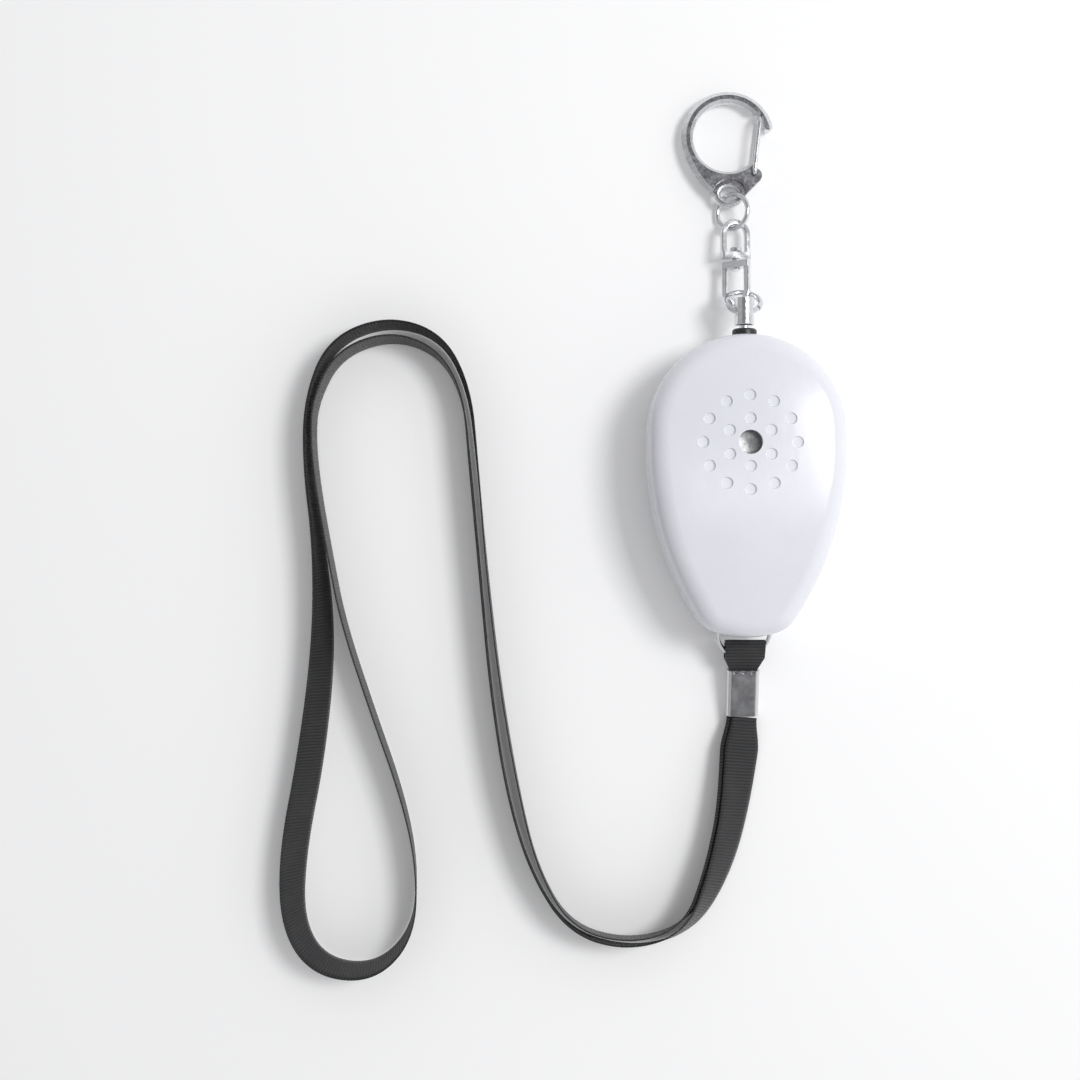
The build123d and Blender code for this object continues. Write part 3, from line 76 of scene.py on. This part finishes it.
# Front face, in millimetres: further dimples, as distance from the sound hole and angle
MORE_DIMPLES = ((5.83, 270), (11.5, 210), (11.5, 240), (11.5, 330))
DIMPLE_RADIUS = 1.45
DIMPLE_FLARE = 0.15
DIMPLE_DEPTH = 0.55
DIMPLE_SEGMENTS = 48
CASE_HEIGHT = 23.0
CROWN_RADIUS = 220.0
CROWN_Y = -10.35
ON_SURFACE = 0.002 * MM
SAME_SIDE = 0.9

# Lanyard ribbon
RIBBON_WIDTH = 10.0 * MM
RIBBON_THICKNESS = 0.45 * MM
RIBBON_CLEARANCE = 0.15 * MM
RIB_PITCH = 0.8 * MM
YARN_PITCH = 0.27 * MM
LINE_STEP = 1.0 * MM
CURVE_STEPS = 24
PROFILE_STEPS = 8
EDGE_POWER = 6
EDGE_THINNING = 0.55
LAYER_LIFT = 0.32 * MM
MOUTH_WIDTH = 6.9 * MM
FLARE_LENGTH = 9.0 * MM
# Crimp
CRIMP_X = 0.6 * MM
CRIMP_TOP = (-56.8 * MM, 4.9 * MM)
CRIMP_DROOP = math.radians(12)
CRIMP_LENGTH = 12.0 * MM

# The ribbon's route in millimetres, each point with its lean from upright in degrees.
# The route of the ribbon in the CAD model, with some points up to 1.5 mm from their place there.
STRAP_ROUTE = [
    (0.0, -69.2, -74), (-1.6, -88.0, -50), (-6.2, -107.2, -40), (-14.4, -122.0, -12),
    (-28.3, -126.1, -8), (-43.3, -122.0, -6), (-51.6, -107.6, -3), (-56.2, -89.5, -1),
    (-61.0, -62.5, 0), (-64.6, -32.0, 0), (-67.0, -4.0, -3), (-69.0, 14.5, -7),
    (-75.9, 28.0, -6), (-89.9, 32.1, -6), (-104.2, 26.3, -5), (-110.2, 11.5, -2),
    (-110.4, -5.5, -2), (-107.2, -25.5, -10), (-106.0, -49.5, -28), (-109.2, -78.0, -36),
    (-114.2, -103.5, -35), (-114.1, -122.1, -24), (-106.8, -132.6, -13), (-92.8, -133.9, -10),
    (-83.1, -123.6, -7), (-82.3, -106.6, -3), (-85.9, -89.1, -1), (-93.9, -66.6, 0),
    (-101.2, -44.5, 0), (-104.6, -27.0, 0), (-107.6, -10.0, 0), (-108.8, 2.0, 0),
    (-108.3, 11.5, 1), (-102.5, 23.4, 4), (-89.2, 28.4, 6), (-77.0, 24.2, 5),
    (-70.6, 13.0, 3), (-69.0, -4.0, 0), (-66.4, -32.0, 0), (-63.6, -62.5, 0),
    (-59.4, -89.0, 1), (-53.4, -108.6, 3), (-43.8, -123.5, 6), (-27.8, -127.9, 9),
    (-12.7, -123.4, 22), (-4.9, -107.8, 44), (-0.3, -88.0, 52), (1.2, -69.2, 74),
]


# Shading helpers

def new_material(name, colour, metallic=0.0, roughness=0.4):
    """Material with a Principled shader whose plain values are set on its own sockets."""
    material = bpy.data.materials.new(name)
    material.use_nodes = True
    shader = material.node_tree.nodes["Principled BSDF"]
    shader.inputs["Base Color"].default_value = (*colour, 1)
    shader.inputs["Metallic"].default_value = metallic
    shader.inputs["Roughness"].default_value = roughness
    return material


def shader_of(material):
    return material.node_tree.nodes["Principled BSDF"]


def add_node(material, kind, **inputs):
    """Node of a kind, with input values by name; a socket as value is linked."""
    node = material.node_tree.nodes.new(kind)
    for name, value in inputs.items():
        set_input(material, node.inputs[name.replace("_", " ")], value)
    return node


def set_input(material, socket, value):
    if isinstance(value, bpy.types.NodeSocket):
        material.node_tree.links.new(value, socket)
    else:
        socket.default_value = value


def object_place(material, stretch=(1, 1, 1)):
    """Place on the piece in metres, stretched along its axes."""
    coordinates = add_node(material, "ShaderNodeTexCoord")
    mapping = add_node(material, "ShaderNodeMapping", Vector=coordinates.outputs["Object"])
    mapping.inputs["Scale"].default_value = stretch
    return mapping.outputs["Vector"]


def noise(material, place, scale, detail=4.0, roughness=0.55):
    node = add_node(
        material, "ShaderNodeTexNoise", Vector=place, Scale=scale, Detail=detail, Roughness=roughness
    )
    return node.outputs["Fac"]


def between(material, factor, low, high, start=0.3, end=0.7):
    """Value that runs from low to high as factor runs from start to end."""
    node = add_node(material, "ShaderNodeMapRange", Value=factor)
    node.inputs["From Min"].default_value = start
    node.inputs["From Max"].default_value = end
    node.inputs["To Min"].default_value = low
    node.inputs["To Max"].default_value = high
    return node.outputs["Result"]


def blend_colours(material, factor, first, second):
    node = material.node_tree.nodes.new("ShaderNodeMix")
    node.data_type = "RGBA"
    set_input(material, node.inputs["Factor"], factor)
    for socket, value in ((node.inputs[6], first), (node.inputs[7], second)):
        set_input(material, socket, value if isinstance(value, bpy.types.NodeSocket) else (*value, 1))
    return node.outputs[2]


def add_bump(material, height, depth, strength=1.0, under=None):
    """Surface relief of a depth in metres; under is the relief it lies on."""
    node = add_node(material, "ShaderNodeBump", Height=height, Distance=depth, Strength=strength)
    if under is not None:
        set_input(material, node.inputs["Normal"], under)
    set_input(material, shader_of(material).inputs["Normal"], node.outputs["Normal"])
    return node.outputs["Normal"]


def multiply(material, first, second):
    node = material.node_tree.nodes.new("ShaderNodeMath")
    node.operation = "MULTIPLY"
    set_input(material, node.inputs[0], first)
    set_input(material, node.inputs[1], second)
    return node.outputs[0]


# Materials

def white_plastic():
    """Moulded gloss plastic: faint unevenness of the mould, fine scuffs and a little dust."""
    material = new_material("white_plastic", (0.80, 0.805, 0.86), roughness=0.16)
    place = object_place(material)
    shader = shader_of(material)
    cloud = noise(material, place, 60, detail=3)
    colour = blend_colours(
        material, between(material, cloud, 0, 1), (0.785, 0.79, 0.85), (0.815, 0.82, 0.87)
    )
    specks = between(material, noise(material, place, 2400, detail=1), 0, 0.18, 0.70, 0.74)
    set_input(
        material,
        shader.inputs["Base Color"],
        blend_colours(material, specks, colour, (0.55, 0.55, 0.57)),
    )
    scuffs = noise(material, object_place(material, (1, 0.12, 1)), 900, detail=6)
    set_input(material, shader.inputs["Roughness"], between(material, scuffs, 0.12, 0.24))
    shader.inputs["IOR"].default_value = 1.53
    shader.inputs["Subsurface Weight"].default_value = 0.06
    shader.inputs["Subsurface Radius"].default_value = (1.2 * MM, 1.0 * MM, 0.9 * MM)
    swell = add_bump(material, noise(material, place, 220, detail=2), 0.03 * MM, 0.35)
    add_bump(material, scuffs, 0.004 * MM, 0.35, under=swell)
    return material


def black_plastic():
    """Moulded matt plastic with a fine spark-eroded grain."""
    material = new_material("black_plastic", (0.016, 0.016, 0.018), roughness=0.38)
    place = object_place(material)
    grain = noise(material, place, 3500, detail=5)
    set_input(material, shader_of(material).inputs["Roughness"], between(material, grain, 0.28, 0.5))
    add_bump(material, grain, 0.02 * MM, 0.6)
    return material


def black_rubber():
    material = new_material("black_rubber", (0.02, 0.02, 0.02), roughness=0.7)
    add_bump(material, noise(material, object_place(material), 1500, detail=6), 0.03 * MM, 0.5)
    return material


def looking_up(material, start, end):
    """1 where the surface looks up, 0 where it leans; painted light and shade follow this mask."""
    coordinates = add_node(material, "ShaderNodeTexCoord")
    parts = add_node(material, "ShaderNodeSeparateXYZ", Vector=coordinates.outputs["Normal"])
    return between(material, parts.outputs["Z"], 0, 1, start, end)


def bright_metal(name, colour, low, high, pits=0.0, pit_colour=(0.1, 0.1, 0.11), flat=None):
    """Plated metal: handling wear in the gloss, hairline scratches and, on castings, pits; with flat given,
    the faces that look up get a painted dark reflection.
    """
    material = new_material(name, colour, metallic=1.0, roughness=low)
    shader = shader_of(material)
    place = object_place(material)
    wear = noise(material, place, 500, detail=6)
    set_input(material, shader.inputs["Roughness"], between(material, wear, low, high))
    hairlines = noise(material, object_place(material, (1, 18, 6)), 420, detail=5)
    relief = add_bump(material, hairlines, 0.006 * MM, 0.35)
    dull = tuple(channel * 0.82 for channel in colour)
    tint = blend_colours(material, between(material, wear, 0, 1), dull, colour)
    if pits:
        spots = between(material, noise(material, place, 2600, detail=3), 0, pits, 0.56, 0.66)
        tint = blend_colours(material, spots, tint, pit_colour)
        add_bump(material, noise(material, place, 1900, detail=4), 0.05 * MM, 0.5, under=relief)
    # Painted reflection: faces that look up take the darker flat colour, mottled by a fine grain, in place
    # of the plated tint.
    if flat:
        grain = between(material, noise(material, place, 1300, detail=5), 0, 1, 0.38, 0.62)
        painted_flat_reflection = blend_colours(material, grain, tuple(channel * 0.6 for channel in flat), flat)
        tint = blend_colours(material, looking_up(material, 0.955, 0.985), tint, painted_flat_reflection)
    set_input(material, shader.inputs["Base Color"], tint)
    return material


def satin_steel():
    """Pressed sheet: short brushed strokes across, and dark rub marks; the leaning rounded sides are
    painted light, a painted highlight.
    """
    material = new_material("satin_steel", (0.36, 0.36, 0.375), metallic=1.0, roughness=0.36)
    shader = shader_of(material)
    strokes = noise(material, object_place(material, (0.35, 3.2, 1)), 1500, detail=8, roughness=0.7)
    rubs = noise(material, object_place(material), 330, detail=5)
    set_input(material, shader.inputs["Roughness"], between(material, strokes, 0.27, 0.46))
    tint = blend_colours(
        material, between(material, rubs, 0, 1, 0.35, 0.65), (0.25, 0.25, 0.265), (0.40, 0.40, 0.415)
    )
    # Painted highlight: sides that lean away from straight up get a light colour, so that the flat with its
    # rub marks looks dark beside them.
    rounded = blend_colours(
        material, looking_up(material, 0.90, 0.965), (0.72, 0.72, 0.74), tint
    )
    set_input(material, shader.inputs["Base Color"], rounded)
    add_bump(material, strokes, 0.02 * MM, 0.6)
    return material


def ceramic():
    material = new_material("ceramic", (0.82, 0.80, 0.74), roughness=0.55)
    place = object_place(material)
    add_bump(material, noise(material, place, 1400, detail=6), 0.02 * MM, 0.4)
    silver = noise(material, place, 250, detail=4)
    tint = blend_colours(material, between(material, silver, 0, 1), (0.72, 0.72, 0.7), (0.86, 0.84, 0.79))
    set_input(material, shader_of(material).inputs["Base Color"], tint)
    return material


def board_laminate():
    """Green solder mask over copper tracks."""
    material = new_material("board_laminate", (0.02, 0.13, 0.05), roughness=0.3)
    place = object_place(material)
    tracks = add_node(material, "ShaderNodeTexBrick", Vector=place, Scale=260.0)
    tint = blend_colours(material, tracks.outputs["Fac"], (0.015, 0.12, 0.045), (0.04, 0.2, 0.08))
    set_input(material, shader_of(material).inputs["Base Color"], tint)
    add_bump(material, tracks.outputs["Fac"], 0.03 * MM, 0.5)
    return material


def wire_sleeve():
    material = new_material("wire_sleeve", (0.42, 0.02, 0.02), roughness=0.42)
    add_bump(material, noise(material, object_place(material), 900, detail=3), 0.02 * MM, 0.4)
    return material


def ribbon_material(name, uv):
    """Black ribbon with ribs across it. With uv, places come from the mesh's own map."""
    material = new_material(name, (0.012, 0.012, 0.013), roughness=0.62)
    shader = shader_of(material)
    if uv:
        coordinates = add_node(material, "ShaderNodeTexCoord")
        place = coordinates.outputs["UV"]
    else:
        place = object_place(material)
    parts = add_node(material, "ShaderNodeSeparateXYZ", Vector=place)
    along = parts.outputs["X"] if uv else parts.outputs["Y"]
    across = parts.outputs["Y"] if uv else parts.outputs["X"]
    # Ribs: one rounded cord of yarns after the other along the ribbon
    wobble = noise(material, place, 160, detail=2)
    turns = multiply(material, along, 2 * math.pi / RIB_PITCH)
    shifted = material.node_tree.nodes.new("ShaderNodeMath")
    shifted.operation = "ADD"
    set_input(material, shifted.inputs[0], turns)
    set_input(material, shifted.inputs[1], multiply(material, wobble, 2.4))
    rib = material.node_tree.nodes.new("ShaderNodeMath")
    rib.operation = "SINE"
    set_input(material, rib.inputs[0], shifted.outputs[0])
    rib_height = between(material, rib.outputs[0], 0, 1, -1.0, 0.9)
    # Warp yarns, much finer, run along the ribbon
    yarn_turns = multiply(material, across, 2 * math.pi / YARN_PITCH)
    yarn = material.node_tree.nodes.new("ShaderNodeMath")
    yarn.operation = "SINE"
    set_input(material, yarn.inputs[0], yarn_turns)
    yarn_height = between(material, yarn.outputs[0], 0, 1, -1, 1)
    fuzz = noise(material, place, 5200, detail=3)
    patches = noise(material, place, 90, detail=3)
    # Painted shade: the troughs between the ribs are coloured darker and the crests lighter.
    tint = blend_colours(material, rib_height, (0.005, 0.005, 0.006), (0.026, 0.026, 0.028))
    worn = between(material, patches, 0, 0.45, 0.45, 0.75)
    set_input(
        material, shader.inputs["Base Color"], blend_colours(material, worn, tint, (0.04, 0.04, 0.042))
    )
    set_input(material, shader.inputs["Roughness"], between(material, fuzz, 0.5, 0.75))
    shader.inputs["Sheen Weight"].default_value = 0.25
    shader.inputs["Sheen Roughness"].default_value = 0.4
    shader.inputs["Specular IOR Level"].default_value = 0.42
    relief = add_bump(material, rib_height, 0.16 * MM, 0.9)
    relief = add_bump(material, yarn_height, 0.03 * MM, 0.5, under=relief)
    add_bump(material, fuzz, 0.02 * MM, 0.4, under=relief)
    return material


def table_material():
    material = new_material("table", TABLE_COLOUR, roughness=0.6)
    shader = shader_of(material)
    shader.inputs["Specular IOR Level"].default_value = 0.1
    # A little lighter for what looks straight at it, so that the ground is white
    path = add_node(material, "ShaderNodeLightPath")
    seen = material.node_tree.nodes.new("ShaderNodeMath")
    seen.operation = "MAXIMUM"
    set_input(material, seen.inputs[0], path.outputs["Is Camera Ray"])
    set_input(material, seen.inputs[1], path.outputs["Is Glossy Ray"])
    shader.inputs["Emission Color"].default_value = (1, 1, 1, 1)
    set_input(material, shader.inputs["Emission Strength"], multiply(material, seen.outputs[0], TABLE_LIFT))
    return material


# Camera

def add_camera():
    data = bpy.data.cameras.new("camera")
    data.lens = CAMERA_LENS
    data.sensor_width = SENSOR
    data.clip_start = 0.01
    camera = bpy.data.objects.new("camera", data)
    camera.location = CAMERA_PLACE
    bpy.context.scene.collection.objects.link(camera)
    bpy.context.scene.camera = camera


add_camera()


# Lanyard ribbon

def smooth(value):
    value = min(max(value, 0.0), 1.0)
    return value * value * (3 - 2 * value)


def crimp_mouth():
    """Middle of the crimp's lower mouth."""
    return Vector(
        (
            CRIMP_X,
            CRIMP_TOP[0] - CRIMP_LENGTH * math.cos(CRIMP_DROOP),
            CRIMP_TOP[1] - CRIMP_LENGTH * math.sin(CRIMP_DROOP),
        )
    )


def spline_points(points):
    """Points along the smooth curve that has these control points."""
    curve = bpy.data.curves.new("route", "CURVE")
    curve.dimensions = "3D"
    curve.resolution_u = CURVE_STEPS
    spline = curve.splines.new("NURBS")
    spline.points.add(len(points) - 1)
    for knot, point in zip(spline.points, points):
        knot.co = (*point, 1)
    spline.order_u = 3
    spline.use_endpoint_u = True
    holder = bpy.data.objects.new("route", curve)
    mesh = bpy.data.meshes.new_from_object(holder)
    read = [vertex.co.copy() for vertex in mesh.vertices]
    bpy.data.objects.remove(holder)
    bpy.data.curves.remove(curve)
    bpy.data.meshes.remove(mesh)
    return read


def evenly(points, step):
    """The same line with points about step apart."""
    line = np.array([list(point) for point in points])
    gaps = np.linalg.norm(np.diff(line, axis=0), axis=1)
    reach = np.concatenate([[0], np.cumsum(gaps)])
    count = int(reach[-1] / step)
    at = np.linspace(0, reach[-1], count + 1)
    return np.stack([np.interp(at, reach, line[:, axis]) for axis in range(line.shape[1])], axis=1), at


def ribbon_mesh(name, line, across, widths, thickness, distances):
    """Closed ribbon along a line. across holds the unit direction of its width at each point."""
    tangents = np.gradient(line, axis=0)
    tangents /= np.linalg.norm(tangents, axis=1)[:, None]
    normals = np.cross(tangents, across)
    normals /= np.linalg.norm(normals, axis=1)[:, None]
    offsets = []
    for step in range(PROFILE_STEPS + 1):
        share = 2 * step / PROFILE_STEPS - 1
        edge = thickness / 2 * (1 - abs(share) ** EDGE_POWER * EDGE_THINNING)
        offsets.append((share / 2, edge))
    for step in range(PROFILE_STEPS, -1, -1):
        share = 2 * step / PROFILE_STEPS - 1
        edge = thickness / 2 * (1 - abs(share) ** EDGE_POWER * EDGE_THINNING)
        offsets.append((share / 2, -edge))
    rings = []
    for share, rise in offsets:
        rings.append(line + across * (share * widths)[:, None] + normals * rise)
    rings = np.stack(rings, axis=1)
    ring_size = len(offsets)
    vertices = rings.reshape(-1, 3)
    faces = []
    places = []
    for row in range(len(line) - 1):
        for column in range(ring_size):
            follower = (column + 1) % ring_size
            faces.append(
                (
                    row * ring_size + column,
                    row * ring_size + follower,
                    (row + 1) * ring_size + follower,
                    (row + 1) * ring_size + column,
                )
            )
            width = widths[row]
            first = offsets[column][0] * width
            second = offsets[follower][0] * width
            places.extend(
                [
                    (distances[row], first),
                    (distances[row], second),
                    (distances[row + 1], second),
                    (distances[row + 1], first),
                ]
            )
    last = (len(line) - 1) * ring_size
    for cap in (range(ring_size - 1, -1, -1), range(last, last + ring_size)):
        cap = list(cap)
        faces.append(cap)
        places.extend([(0.0, 0.0)] * ring_size)
    mesh = bpy.data.meshes.new(name)
    mesh.from_pydata([tuple(vertex) for vertex in vertices], [], faces)
    layer = mesh.uv_layers.new(name="ribbon")
    layer.data.foreach_set("uv", np.array(places, np.float32).ravel())
    mesh.shade_smooth()
    piece = bpy.data.objects.new(name, mesh)
    bpy.context.scene.collection.objects.link(piece)
    return piece


def build_strap():
    """The lanyard: it leaves the crimp flat, turns on edge, and leans over in the far loop."""
    mouth = crimp_mouth()
    last = len(STRAP_ROUTE) - 1
    points = []
    for index, (x, y, lean) in enumerate(STRAP_ROUTE):
        angle = math.radians(lean)
        layer = LAYER_LIFT * math.sin(angle)
        height = RIBBON_WIDTH / 2 * math.cos(angle) + RIBBON_CLEARANCE + LAYER_LIFT
        if index in (0, last):
            height = mouth.z
        points.append((x * MM, y * MM, height + layer))
    read = spline_points(points)
    line, distances = evenly(read, LINE_STEP)
    # The lean is read from a curve with the same steps, so that it follows the route's points
    leans = spline_points([(lean * MM, index * MM, 0) for index, (_, _, lean) in enumerate(STRAP_ROUTE)])
    share = np.linspace(0, 1, len(read))
    gaps = np.linalg.norm(np.diff(np.array([list(p) for p in read]), axis=0), axis=1)
    reach = np.concatenate([[0], np.cumsum(gaps)])
    lean_read = np.interp(share, np.linspace(0, 1, len(leans)), [p.x / MM for p in leans])
    lean_line = np.radians(np.interp(distances, reach, lean_read))
    tangents = np.gradient(line, axis=0)
    flat = np.stack([-tangents[:, 1], tangents[:, 0], np.zeros(len(line))], axis=1)
    flat /= np.linalg.norm(flat, axis=1)[:, None]
    up = np.array([0.0, 0.0, 1.0])
    across = np.cos(lean_line)[:, None] * up + np.sin(lean_line)[:, None] * flat
    forward = tangents / np.linalg.norm(tangents, axis=1)[:, None]
    across -= forward * np.sum(across * forward, axis=1)[:, None]
    across /= np.linalg.norm(across, axis=1)[:, None]
    whole = distances[-1]
    widths = []
    for distance in distances:
        near = min(distance, whole - distance)
        widths.append(MOUTH_WIDTH + (RIBBON_WIDTH - MOUTH_WIDTH) * smooth(near / FLARE_LENGTH))
    strap = ribbon_mesh("strap_ribbon", line, across, np.array(widths), RIBBON_THICKNESS, distances)
    strap.data.materials.append(ribbon_material("black_ribbon", uv=True))
    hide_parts("strap")
    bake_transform(strap)
    return strap


build_strap()


# Finishes of the CAD pieces

FINISHES = {
    "white_plastic": (white_plastic, ["front_shell", "rear_shell", "battery_door"]),
    "black_plastic": (
        black_plastic,
        ["pin_bushing", "pin_socket", "control_chip", "step_up_coil", "board_components"],
    ),
    "black_rubber": (black_rubber, ["sounder_gasket"]),
    "satin_steel": (satin_steel, ["strap_crimp"]),
    "brass": (
        lambda: bright_metal("brass", (0.74, 0.56, 0.27), 0.2, 0.42),
        ["fixed_contact", "contact_post", "contact_leaf"],
    ),
    "ceramic": (ceramic, ["piezo_ceramic"]),
    "board": (board_laminate, ["circuit_board"]),
    "wires": (wire_sleeve, ["lead_wires"]),
    "chrome": (
        lambda: bright_metal("chrome", (0.80, 0.81, 0.83), 0.07, 0.2),
        [
            "pull_pin",
            "lower_ring",
            "swivel_lower_link",
            "swivel_rivet",
            "swivel_upper_link",
            "upper_ring",
            "hook_gate",
            "strap_ring",
        ],
    ),
    # The hook's pits are real; the darker colour that flat gives its up-facing faces is a painted
    # reflection.
    "cast_hook": (
        lambda: bright_metal(
            "cast_hook", (0.80, 0.81, 0.83), 0.18, 0.34, pits=0.35, flat=(0.36, 0.36, 0.38)
        ),
        ["hook_frame"],
    ),
    "zinc": (
        lambda: bright_metal("zinc", (0.62, 0.62, 0.64), 0.22, 0.4),
        ["battery_door_screw", "housing_screws", "battery_plate", "battery_spring", "battery_cells"],
    ),
    "disc": (
        lambda: bright_metal("disc", (0.86, 0.86, 0.87), 0.35, 0.6, pits=0.45),
        ["sounder_disc"],
    ),
    "loop": (lambda: ribbon_material("black_loop", uv=False), ["strap_loop"]),
}


def finish_pieces():
    materials = {}
    for finish, (make, names) in FINISHES.items():
        materials[finish] = make()
        for name in names:
            mesh = nodes[name].data
            mesh.materials.clear()
            mesh.materials.append(materials[finish])
    return materials


finishes = finish_pieces()


# Front of the case

def dimple_cutters():
    """The cones that the further dimples are cut with, in millimetres."""
    cutters = bmesh.new()
    for ring, angle in MORE_DIMPLES:
        x = ring * math.cos(math.radians(angle))
        y = ring * math.sin(math.radians(angle))
        drop = CROWN_RADIUS - math.sqrt(CROWN_RADIUS**2 - x**2 - (y - CROWN_Y) ** 2)
        bmesh.ops.create_cone(
            cutters,
            cap_ends=True,
            segments=DIMPLE_SEGMENTS,
            radius1=DIMPLE_RADIUS - DIMPLE_FLARE,
            radius2=DIMPLE_RADIUS + DIMPLE_FLARE,
            depth=2 * DIMPLE_DEPTH,
            matrix=Matrix.Translation((x, y, CASE_HEIGHT - drop)),
        )
    mesh = bpy.data.meshes.new("dimple_cutters")
    cutters.to_mesh(mesh)
    cutters.free()
    return mesh


def keep_normals(cut, source):
    """Give a cut mesh the smooth directions of the mesh that it was cut from."""
    tree = BVHTree.FromPolygons(
        [vertex.co for vertex in source.vertices], [tuple(face.vertices) for face in source.polygons]
    )
    directions = [None] * len(cut.loops)
    for face in cut.polygons:
        _, _, nearest, far = tree.find_nearest(face.center)
        under = source.polygons[nearest]
        kept = far < ON_SURFACE and under.normal.dot(face.normal) > SAME_SIDE
        if kept and len(under.vertices) == 3:
            corners = [source.vertices[vertex].co for vertex in under.vertices]
            towards = [source.corner_normals[corner].vector for corner in under.loop_indices]
        for corner in face.loop_indices:
            place = cut.vertices[cut.loops[corner].vertex_index].co
            if kept and len(under.vertices) == 3:
                directions[corner] = barycentric_transform(place, *corners, *towards).normalized()
            else:
                directions[corner] = face.normal.copy()
    cut.normals_split_custom_set(directions)


def build_case_front():
    """The front shell with all of its dimples."""
    source = nodes["front_shell"].data
    welded = bmesh.new()
    welded.from_mesh(source)
    bmesh.ops.remove_doubles(welded, verts=welded.verts, dist=ON_SURFACE / 2)
    bmesh.ops.scale(welded, vec=(1 / MM, 1 / MM, 1 / MM), verts=welded.verts)
    whole = bpy.data.meshes.new("case_front")
    welded.to_mesh(whole)
    welded.free()
    piece = bpy.data.objects.new("case_front", whole)
    cutter = bpy.data.objects.new("dimple_cutters", dimple_cutters())
    for added in (piece, cutter):
        bpy.context.scene.collection.objects.link(added)
    cutting = piece.modifiers.new("dimples", "BOOLEAN")
    cutting.operation = "DIFFERENCE"
    cutting.solver = "EXACT"
    cutting.object = cutter
    view = bpy.context.evaluated_depsgraph_get()
    cut = bpy.data.meshes.new_from_object(piece.evaluated_get(view))
    piece.modifiers.clear()
    bpy.data.objects.remove(cutter)
    cut.transform(Matrix.Scale(MM, 4))
    keep_normals(cut, source)
    cut.materials.clear()
    cut.materials.append(finishes["white_plastic"])
    piece.data = cut
    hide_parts("front_shell")
    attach(piece, "housing")
    return piece


build_case_front()


# Table and light

def add_table():
    bpy.ops.mesh.primitive_plane_add(size=TABLE_SIZE)
    table = bpy.context.object
    table.name = "table"
    table.data.materials.append(table_material())


def add_light(name, place, size, power, target=(0, 0, 0)):
    data = bpy.data.lights.new(name, "AREA")
    data.shape = "RECTANGLE"
    data.size = size[0]
    data.size_y = size[1]
    data.energy = power
    light = bpy.data.objects.new(name, data)
    light.location = place
    aim = Vector(target) - Vector(place)
    light.rotation_euler = aim.to_track_quat("-Z", "Y").to_euler()
    bpy.context.scene.collection.objects.link(light)


def set_sky():
    """Walls all round, brighter on the right, and a darker ceiling, which bright metal mirrors."""
    world = bpy.data.worlds.new("room")
    world.use_nodes = True
    bpy.context.scene.world = world
    tree = world.node_tree
    background = tree.nodes["Background"]
    coordinates = tree.nodes.new("ShaderNodeTexCoord")
    parts = tree.nodes.new("ShaderNodeSeparateXYZ")
    tree.links.new(coordinates.outputs["Generated"], parts.inputs["Vector"])
    ramp = tree.nodes.new("ShaderNodeMapRange")
    ramp.interpolation_type = "SMOOTHSTEP"
    ramp.inputs["From Min"].default_value = SKY_RAMP[0]
    ramp.inputs["From Max"].default_value = SKY_RAMP[1]
    ramp.inputs["To Min"].default_value = SKY_SIDE
    ramp.inputs["To Max"].default_value = SKY_TOP
    tree.links.new(parts.outputs["Z"], ramp.inputs["Value"])
    sides = tree.nodes.new("ShaderNodeMapRange")
    sides.inputs["From Min"].default_value = -1.0
    sides.inputs["To Min"].default_value = SKY_LEFT
    sides.inputs["To Max"].default_value = SKY_RIGHT
    tree.links.new(parts.outputs["X"], sides.inputs["Value"])
    product = tree.nodes.new("ShaderNodeMath")
    product.operation = "MULTIPLY"
    tree.links.new(ramp.outputs["Result"], product.inputs[0])
    tree.links.new(sides.outputs["Result"], product.inputs[1])
    tree.links.new(product.outputs[0], background.inputs["Strength"])
    background.inputs["Color"].default_value = (0.985, 0.99, 1.0, 1)


add_table()
add_light("key", KEY_PLACE, (KEY_SIZE, KEY_SIZE), KEY_POWER)
add_light("strip", STRIP_PLACE, STRIP_SIZE, STRIP_POWER)
set_sky()
bpy.context.scene.view_settings.view_transform = "Standard"
